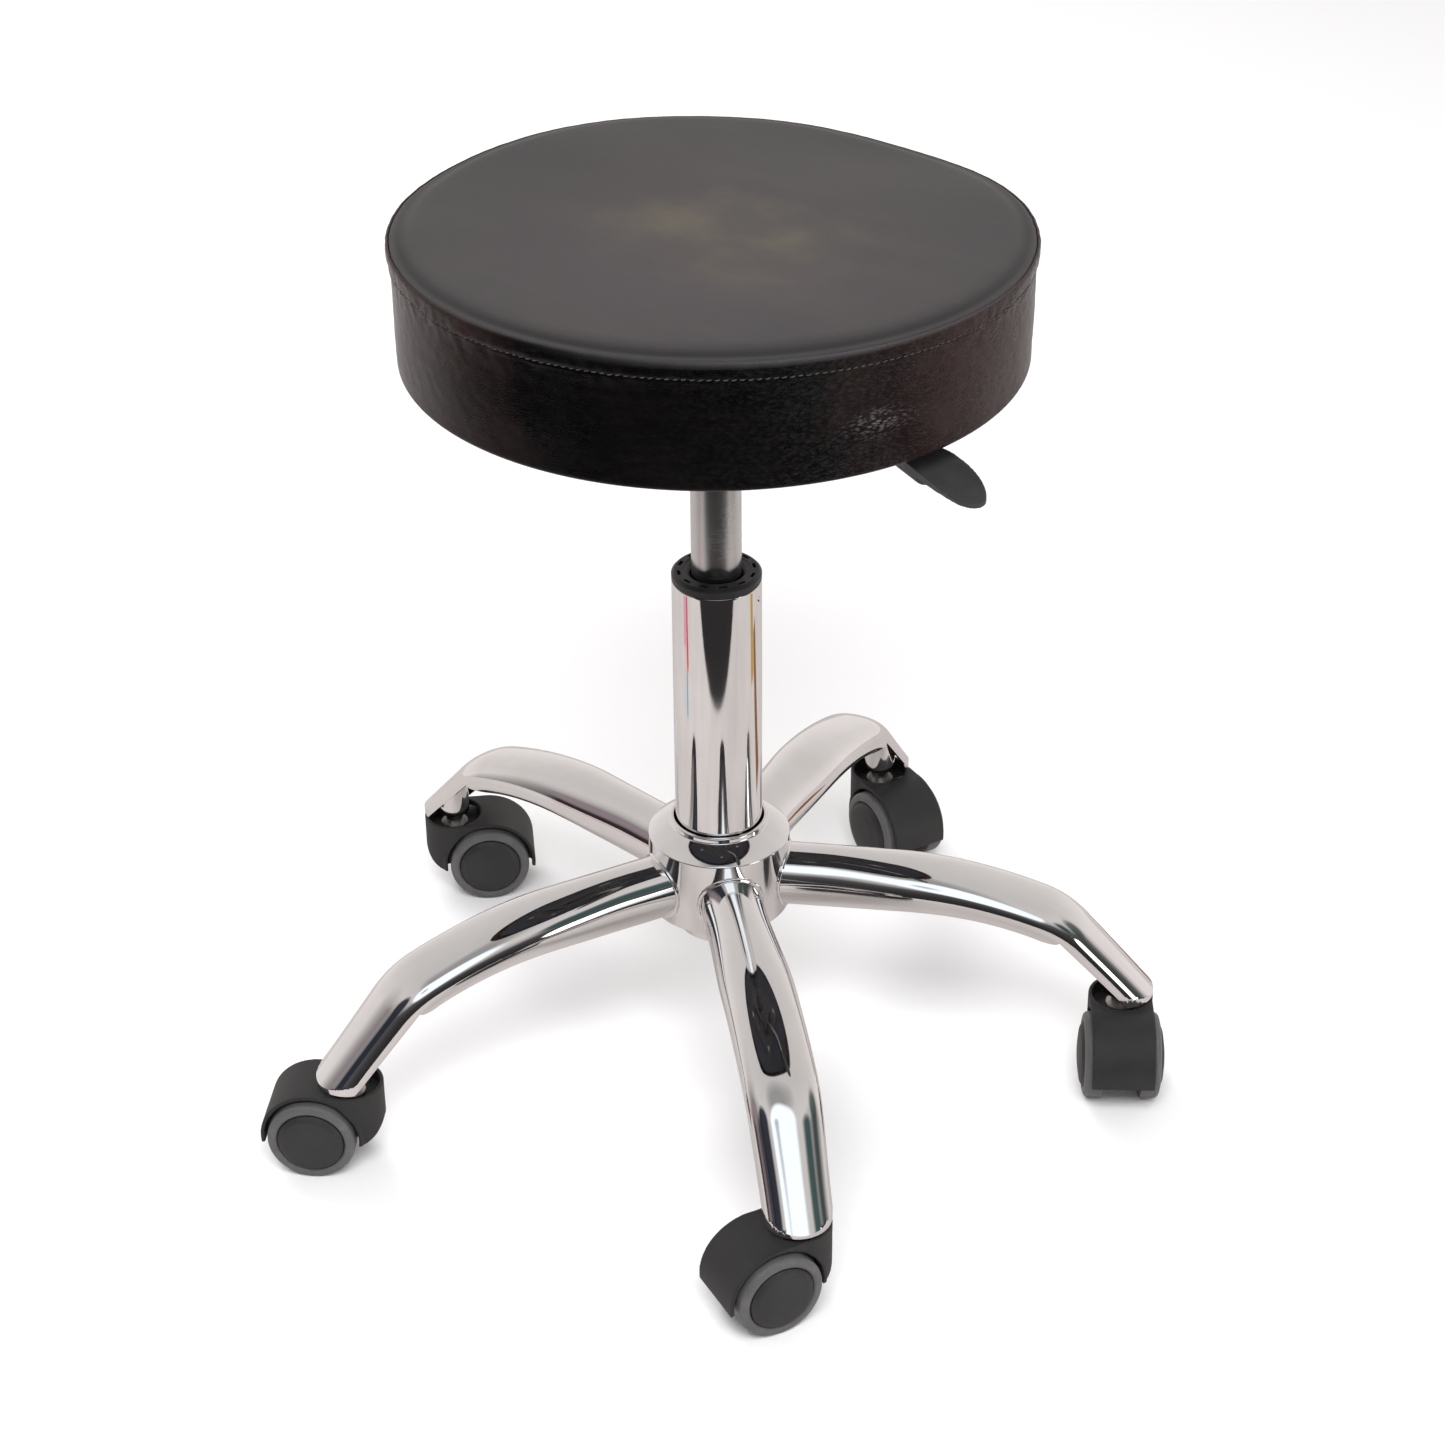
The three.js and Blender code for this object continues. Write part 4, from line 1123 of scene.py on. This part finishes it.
def blow_up(pad):
    """Runs the pad as cloth under pressure and returns how its points moved, in millimetres."""
    before = np.array([v.co for v in pad.data.vertices])
    cloth = pad.modifiers.new("cloth", "CLOTH")
    setting = cloth.settings
    setting.quality = 6
    setting.mass = 0.35
    setting.tension_stiffness = setting.compression_stiffness = 60
    setting.shear_stiffness = 30
    setting.bending_stiffness = 4
    setting.use_pressure = True
    setting.uniform_pressure_force = 4
    setting.vertex_group_mass = "held"
    setting.effector_weights.gravity = 0
    cloth.collision_settings.use_self_collision = False
    scene = bpy.context.scene
    for number in range(1, SIM_FRAMES + 1):
        scene.frame_set(number)
        bpy.context.view_layer.update()
    bake(pad)
    after = np.array([v.co for v in pad.data.vertices])
    scene.frame_set(1)
    discard(pad)
    moved = (after - before) / MM
    size = np.linalg.norm(moved, axis=1, keepdims=True)
    return moved * np.minimum(1, MOST_MOVED / np.maximum(size, 1e-9))


def simulate_pad():
    """The cloth's outward and upward movement, as rings by segments, less each ring's mean."""
    outline = pad_outline()
    pad = plain_pad(outline)
    hold_pad(pad)
    moved = blow_up(pad)
    field = np.zeros((PAD_RINGS, SIM_SEGMENTS, 2))
    row = 0
    for ring, (r, z) in enumerate(outline):
        if r <= 1e-6:
            field[ring, :, 1] = moved[row, 2]
            row += 1
            continue
        for k, a in enumerate(turns(SIM_SEGMENTS)):
            x, y, up = moved[row + k]
            field[ring, k] = (x * cos(a) + y * sin(a), up)
        row += SIM_SEGMENTS
        field[ring] = blurred(field[ring], 24 if z > STITCH_Z - 4 else 3)
    return SWELL_GAIN * (field - field.mean(axis=1, keepdims=True))


def blurred(ring, rounds):
    """A ring of movements evened out round the seat."""
    for _ in range(rounds):
        ring = (np.roll(ring, 1, axis=0) + 2 * ring + np.roll(ring, -1, axis=0)) / 4
    return ring


def swell(field, s, a):
    """Outward and upward movement of the pad at lengths s and angles a."""
    rings = field.shape[0]
    u = np.clip(s / OUTER_TOTAL * (rings - 1), 0, rings - 1.001)
    v = (a / (2 * pi) * SIM_SEGMENTS) % SIM_SEGMENTS
    i, j = u.astype(int), v.astype(int)
    fu, fv = (u - i)[..., None], (v - j)[..., None]
    n = (j + 1) % SIM_SEGMENTS
    return ((field[i, j] * (1 - fv) + field[i, n] * fv) * (1 - fu)
            + (field[i + 1, j] * (1 - fv) + field[i + 1, n] * fv) * fu)


def dent(a, z):
    """How far the band's dent and the folds round it stand out."""
    across = ((a - radians(DENT_AZIMUTH) + pi) % (2 * pi) - pi) * BAND_RADIUS
    total = 0
    for size, middle, reach, height, slope, tall in DENT_FOLDS:
        up = z - height - slope * across
        total = total + size * np.exp(-((across - middle) / reach) ** 2 - (up / tall) ** 2)
    return total


def rim_height(a):
    """How far the worn cushion's rim stands above or below its mean height."""
    turn = (np.degrees(a) - degrees(VIEW_TURN)) % 360
    lean = 3.0 * np.cos(np.radians(turn - 250)) + 0.3
    sunk = 4.2 * np.exp(-((turn - 48) / 22) ** 2)
    full = 2.6 * np.exp(-((turn - 118) / 28) ** 2)
    return lean - sunk + full


def ripples(a, z, around, along):
    """Smooth random values from -1 to 1, with the ends of the circle meeting."""
    spots = zip(a.ravel(), z.ravel())
    values = [noise.noise(Vector((around * cos(t), around * sin(t), along * height)))
              for t, height in spots]
    return np.array(values).reshape(a.shape)


def cushion_point(r, z, s, a, field):
    """Where a point of the cushion's outline lies once it is swollen and worn."""
    z_lift = smoothstep(r, 50, 162) * between(z, 462, 518) * rim_height(a)
    move = swell(field, s, a)
    r = r + move[..., 0]
    z = z + move[..., 1]
    side = between(r, 158, 164) * between(z, 455, 463)
    r = r + side * dent(a, z)
    sway = ripples(a, z, 2.2, 0.02)
    pucker = ripples(a, z, 30, 0.16)
    near = np.exp(-((z - STITCH_Z) / 7.0) ** 2)
    r = r + side * (0.7 * sway + 0.55 * pucker * near + 0.16 * pucker)
    z = z + 0.35 * sway * between(r, 140, 165) * between(z, 500, 510)
    return r, z + z_lift


def one_point(r, z, s, a, field):
    """The same for a single point, as plain numbers."""
    out, up = cushion_point(*(np.array([value]) for value in (r, z, s, a)), field)
    return float(out[0]), float(up[0])


def cushion_shell(name, outline, first_length, field, depth):
    """A closed skin: the outline's outside, and the same set inward by depth."""
    lengths_here = lengths(outline) + first_length
    on_axis = outline[0][0] < 1e-6
    inside = set_in(outline, depth)
    rows = [(r, z, s) for (r, z), s in zip(outline, lengths_here)]
    rows += [(r, z, s) for (r, z), s in zip(inside[::-1], lengths_here[::-1])]
    points, faces = cushion_rows(rows, field, ring=not on_axis)
    return make(name, points, faces)


def set_in(outline, depth):
    """The outline moved inward, square to itself."""
    moved = []
    for i, (r, z) in enumerate(outline):
        before, after = outline[max(0, i - 1)], outline[min(len(outline) - 1, i + 1)]
        dr, dz = after[0] - before[0], after[1] - before[1]
        size = hypot(dr, dz)
        moved.append((max(0.0, r + depth * dz / size) if r > 1e-6 else 0.0,
                      z - depth * dr / size))
    return moved


def cushion_rows(rows, field, ring):
    """Points and faces of rows of (radius, height, length along the outline) turned about Z."""
    angles = np.arange(SEAT_SEGMENTS) * 2 * pi / SEAT_SEGMENTS
    points, index = [], []
    for r, z, s in rows:
        if r < 1e-6:
            index.append([len(points)] * SEAT_SEGMENTS)
            points.append((0.0, 0.0, one_point(0.0, z, s, 0.0, field)[1]))
            continue
        full = np.full(SEAT_SEGMENTS, 1.0)
        radius, height = cushion_point(full * r, full * z, full * s, angles, field)
        index.append(list(range(len(points), len(points) + SEAT_SEGMENTS)))
        points += list(zip(radius * np.cos(angles), radius * np.sin(angles), height))
    return points, quilt(index, ring)


def build_cushion():
    field = simulate_pad()
    top = cushion_shell("cushion_top", top_outline(), 0.0, field, COVER_DEPTH)
    fit(top, TOP_VINYL, "seat", "top_vinyl", "seat_top")
    band = cushion_shell("cushion_band", band_outline(), SEAM_LENGTH, field, BAND_DEPTH)
    fit(band, BAND_VINYL, "seat", "band_vinyl", "seat_band")
    foam = build_foam(field)
    fit(foam, FOAM, "seat", "foam", "seat_foam")
    stitches = build_stitches(field)
    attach(stitches, "seat")


def build_foam(field):
    """The pad inside the cover, resting on its board."""
    skin = 1.9
    edge_z = TOP_EDGE_Z - skin
    outside = [(0.0, CROWN_Z - skin), (60, CROWN_Z - 0.3 - skin), (110, CROWN_Z - 1.2 - skin),
               (150, edge_z + 0.2), (158, edge_z - 0.2), (162.0, edge_z - 2.2),
               (164.4, edge_z - 5.5), (165.0, 510), (164.8, 500), (164.4, 490), (164.4, 472),
               (164.0, POCKET_TOP + 0.4)]
    rows = [(r, z, OUTER_LENGTHS[nearest(r, z)]) for r, z in outside]
    under = [(100.0, POCKET_TOP), (0.0, POCKET_TOP)]
    rows += [(r, z, OUTER_TOTAL) for r, z in under]
    points, faces = cushion_rows(rows, field, ring=False)
    return make("cushion_foam", points, faces)


def build_stitches(field):
    """Thread of the top-stitch: short slanting dashes in the groove below the corner."""
    groove = nearest(167.8, STITCH_Z)
    s = OUTER_LENGTHS[groove]
    radius, height = OUTER[groove]
    count = round(2 * pi * radius / STITCH_PITCH)
    section, steps, thick = 6, 7, 0.36
    points, faces = [], []
    for n in range(count):
        middle = 2 * pi * n / count
        jitter = 0.18 * noise.noise(Vector((n * 0.73, 0.2, 0.9)))
        base = len(points)
        for k in range(steps):
            t = k / (steps - 1) * 2 - 1
            a = middle + t * 1.35 / radius
            out, up = one_point(radius, height, s, a, field)
            sink = 0.42 * (1 - t ** 4)
            outward = Vector((cos(a), sin(a), 0))
            centre = outward * (out - 0.12 + sink)
            centre.z = up + 0.22 * t + jitter
            size = thick * (1 - 0.55 * abs(t) ** 3)
            for b in turns(section):
                points.append(centre + outward * (size * cos(b))
                              + Vector((0, 0, size * sin(b))))
        rows = loops(steps, section, base)
        faces += quilt(rows) + [rows[0], rows[-1]]
    obj = make("stitching", points, faces)
    obj.data.materials.append(THREAD)
    return obj


# --- stage ---

CAMERA_PLACE = (0.8974, -1.2179, 1.1532)
CAMERA_LENS = 78.10
CAMERA_ANGLES = (126.288, 31.628, -0.509)  # heading, angle down and roll, in degrees

# Each lamp's name, place and size in metres, and power in watts.
LAMPS = (
    ("overhead", (0.0, -1.5, 2.1), (1.3, 1.0), 42),
    ("back", (-1.2, 1.6, 2.2), (1.6, 1.0), 34),
    ("side", (2.9, -2.0, 2.2), (1.4, 1.8), 26),
)
LAMP_TARGET = (0, 0, 0.3)

# What only mirrors see on the floor: the sheet, and things as name, span across, span along
# and colour. The spans are in metres along the view's own axes.
SHEET_WIDTH = (-0.76, 0.76)
SHEET_DEPTH = (-0.425, 0.9)
SHEET_COLOUR = (0.56, 0.525, 0.515)
MIRROR_THINGS = (
    ("red_card", (-0.62, -0.46), (-0.105, -0.06), (0.6, 0.05, 0.05)),
    ("blue_card", (-0.46, -0.40), (-0.07, -0.045), (0.03, 0.3, 0.42)),
    ("pink_card", (-0.62, -0.5), (-0.05, 0.02), (0.55, 0.3, 0.42)),
    ("ochre_card", (0.44, 0.62), (0.04, 0.12), (0.42, 0.26, 0.05)),
    ("brown_card", (0.26, 0.5), (0.13, 0.2), (0.20, 0.085, 0.03)),
)

# Direction in the view's axes, radii of the patch's inner and outer edge in degrees, strength
# and colour.
ROOM_PATCHES = (
    ((0.0, -0.36, 0.93), 9, 22, 0.85, (0.30, 0.297, 0.30)),
    ((0.06, -0.70, 0.72), 17, 21, 1.0, (1.15, 1.24, 1.34)),
    ((-0.06, -0.70, 0.72), 2.5, 5, 0.7, (0.33, 0.35, 0.38)),
    ((-0.62, -0.58, 0.53), 12, 17, 0.97, (0.022, 0.025, 0.04)),
    ((0.70, -0.50, 0.52), 6, 12, 0.95, (0.035, 0.080, 0.075)),
    ((0.86, -0.02, 0.42), 9, 16, 0.85, (0.05, 0.08, 0.075)),
    ((0.80, -0.56, 0.10), 7, 11, 1.0, (4.5, 4.4, 4.3)),
    ((-0.95, -0.20, 0.25), 6, 14, 0.8, (0.35, 0.27, 0.30)),
)


def stage_point(x, y, z):
    """A point given in the view's own axes, in metres, as one in the CAD frame."""
    return Matrix.Rotation(VIEW_TURN, 3, "Z") @ Vector((x, y, z))


def build_camera():
    data = bpy.data.cameras.new("camera")
    data.sensor_width = 36.0
    data.lens = CAMERA_LENS
    data.clip_start, data.clip_end = 0.05, 60.0
    camera = place_in_scene("camera", data)
    heading, down, roll = (radians(angle) for angle in CAMERA_ANGLES)
    forward = Vector((cos(heading) * cos(down), sin(heading) * cos(down), -sin(down)))
    right = forward.cross(Vector((0, 0, 1))).normalized()
    up = right.cross(forward)
    turned_right = cos(roll) * right + sin(roll) * up
    turned_up = cos(roll) * up - sin(roll) * right
    matrix = Matrix((turned_right, turned_up, -forward)).transposed().to_4x4()
    matrix.translation = Vector(CAMERA_PLACE)
    camera.matrix_world = matrix
    bpy.context.scene.camera = camera


def build_floor():
    """A wide pale floor. Mirrors see a greyer sheet of it, with a few things lying round."""
    paint = Paint("floor", Roughness=0.9, Specular_IOR_Level=0.1)
    cloud = paint.noise(1.5, 3.0)
    paint.finish(paint.ramp(cloud, [(0.3, 0.955), (0.7, 0.965)]))
    wide = floor_card("floor", (-30, 30), (-30, 30), 0.0, paint.material)
    wide.visible_glossy = False
    cards = [floor_card("sheet", SHEET_WIDTH, SHEET_DEPTH, 0.0003, card_paint(SHEET_COLOUR))]
    for name, across, along, colour in MIRROR_THINGS:
        cards.append(floor_card(name, across, along, 0.0006, card_paint(colour)))
    for card in cards:
        card.visible_camera = card.visible_diffuse = card.visible_shadow = False


def floor_card(name, across, along, height, material):
    """A flat sheet on the floor, its sides along the view's own axes, in metres."""
    corners = [(across[0], along[0]), (across[1], along[0]),
               (across[1], along[1]), (across[0], along[1])]
    points = [stage_point(x, y, height) / MM for x, y in corners]
    return make(name, points, [(0, 1, 2, 3)], material)


def card_paint(colour):
    p = Paint("card", Roughness=0.9)
    cloud = p.noise(7.0, 4.0)
    return p.finish(p.ramp(cloud, [(0.3, colour), (0.7, tuple(0.88 * c for c in colour))]))


def build_lamp(name, position, size, power):
    """A rectangular lamp that mirrors don't see."""
    data = bpy.data.lights.new(name, "AREA")
    data.shape = "RECTANGLE"
    data.size, data.size_y = size
    data.energy = power
    lamp = place_in_scene(name, data)
    lamp.location = stage_point(*position)
    toward = stage_point(*LAMP_TARGET) - lamp.location
    lamp.rotation_mode = "QUATERNION"
    lamp.rotation_quaternion = toward.to_track_quat("-Z", "Y")
    lamp.visible_glossy = False


class Room(Paint):
    """The world's nodes; its place is a direction in the view's own axes."""

    def __init__(self, world):
        world.use_nodes = True
        self.tree = world.node_tree
        direction = self.node("ShaderNodeTexCoord").outputs["Generated"]
        turn = self.node("ShaderNodeVectorRotate", Vector=direction, Angle=-VIEW_TURN)
        self.place = turn.outputs["Vector"]


def build_world():
    """A soft room: pale behind, a pale ceiling, dim walls in front and at the sides."""
    world = bpy.data.worlds.new("room")
    bpy.context.scene.world = world
    p = Room(world)
    _, y, z = p.axes(p.place)
    height = p.plus(z, p.spread(p.noise(3.0, 3.0), 0.3, 0.7, -0.05, 0.05))
    wall = p.ramp(p.spread(height, -0.2, 1.0), [
        (0.13, (0.030, 0.028, 0.028)), (0.33, (0.050, 0.048, 0.050)),
        (0.47, (0.09, 0.088, 0.088)), (0.60, (0.48, 0.46, 0.455)),
        (0.75, (0.70, 0.67, 0.66)), (1.0, (0.60, 0.58, 0.575))])
    behind = p.times(p.spread(y, -0.15, 0.35), p.spread(z, -0.55, -0.5))
    backdrop = p.ramp(p.spread(height, 0.0, 1.0), [
        (0.0, (0.86, 0.81, 0.80)), (0.5, (0.70, 0.66, 0.65)), (1.0, (0.60, 0.58, 0.575))])
    colour = p.mix(behind, wall, backdrop)
    for place, inner, outer, strength, patch in ROOM_PATCHES:
        share = p.times(strength, near_direction(p, place, inner, outer))
        colour = p.mix(share, colour, patch)
    background = p.tree.nodes["Background"]
    p.feed(background.inputs["Color"], colour)
    background.inputs["Strength"].default_value = 1.0


def near_direction(p, place, inner, outer):
    """1 within the inner angle of a direction, 0 beyond the outer one."""
    made = p.node("ShaderNodeVectorMath")
    made.operation = "DOT_PRODUCT"
    p.feed(made.inputs[0], p.place)
    made.inputs[1].default_value = Vector(place).normalized()
    edges = [cos(radians(angle)) for angle in (outer, inner)]
    return p.spread(made.outputs["Value"], edges[0], edges[1])


def build_stage():
    build_camera()
    build_floor()
    build_world()
    for lamp in LAMPS:
        build_lamp(*lamp)
    bpy.context.scene.view_settings.view_transform = "Standard"


build_stage()
build_column()
build_hub()
build_bush()
build_legs()
build_welds()
build_tube()
build_casters()
build_paddle()
build_cushion()
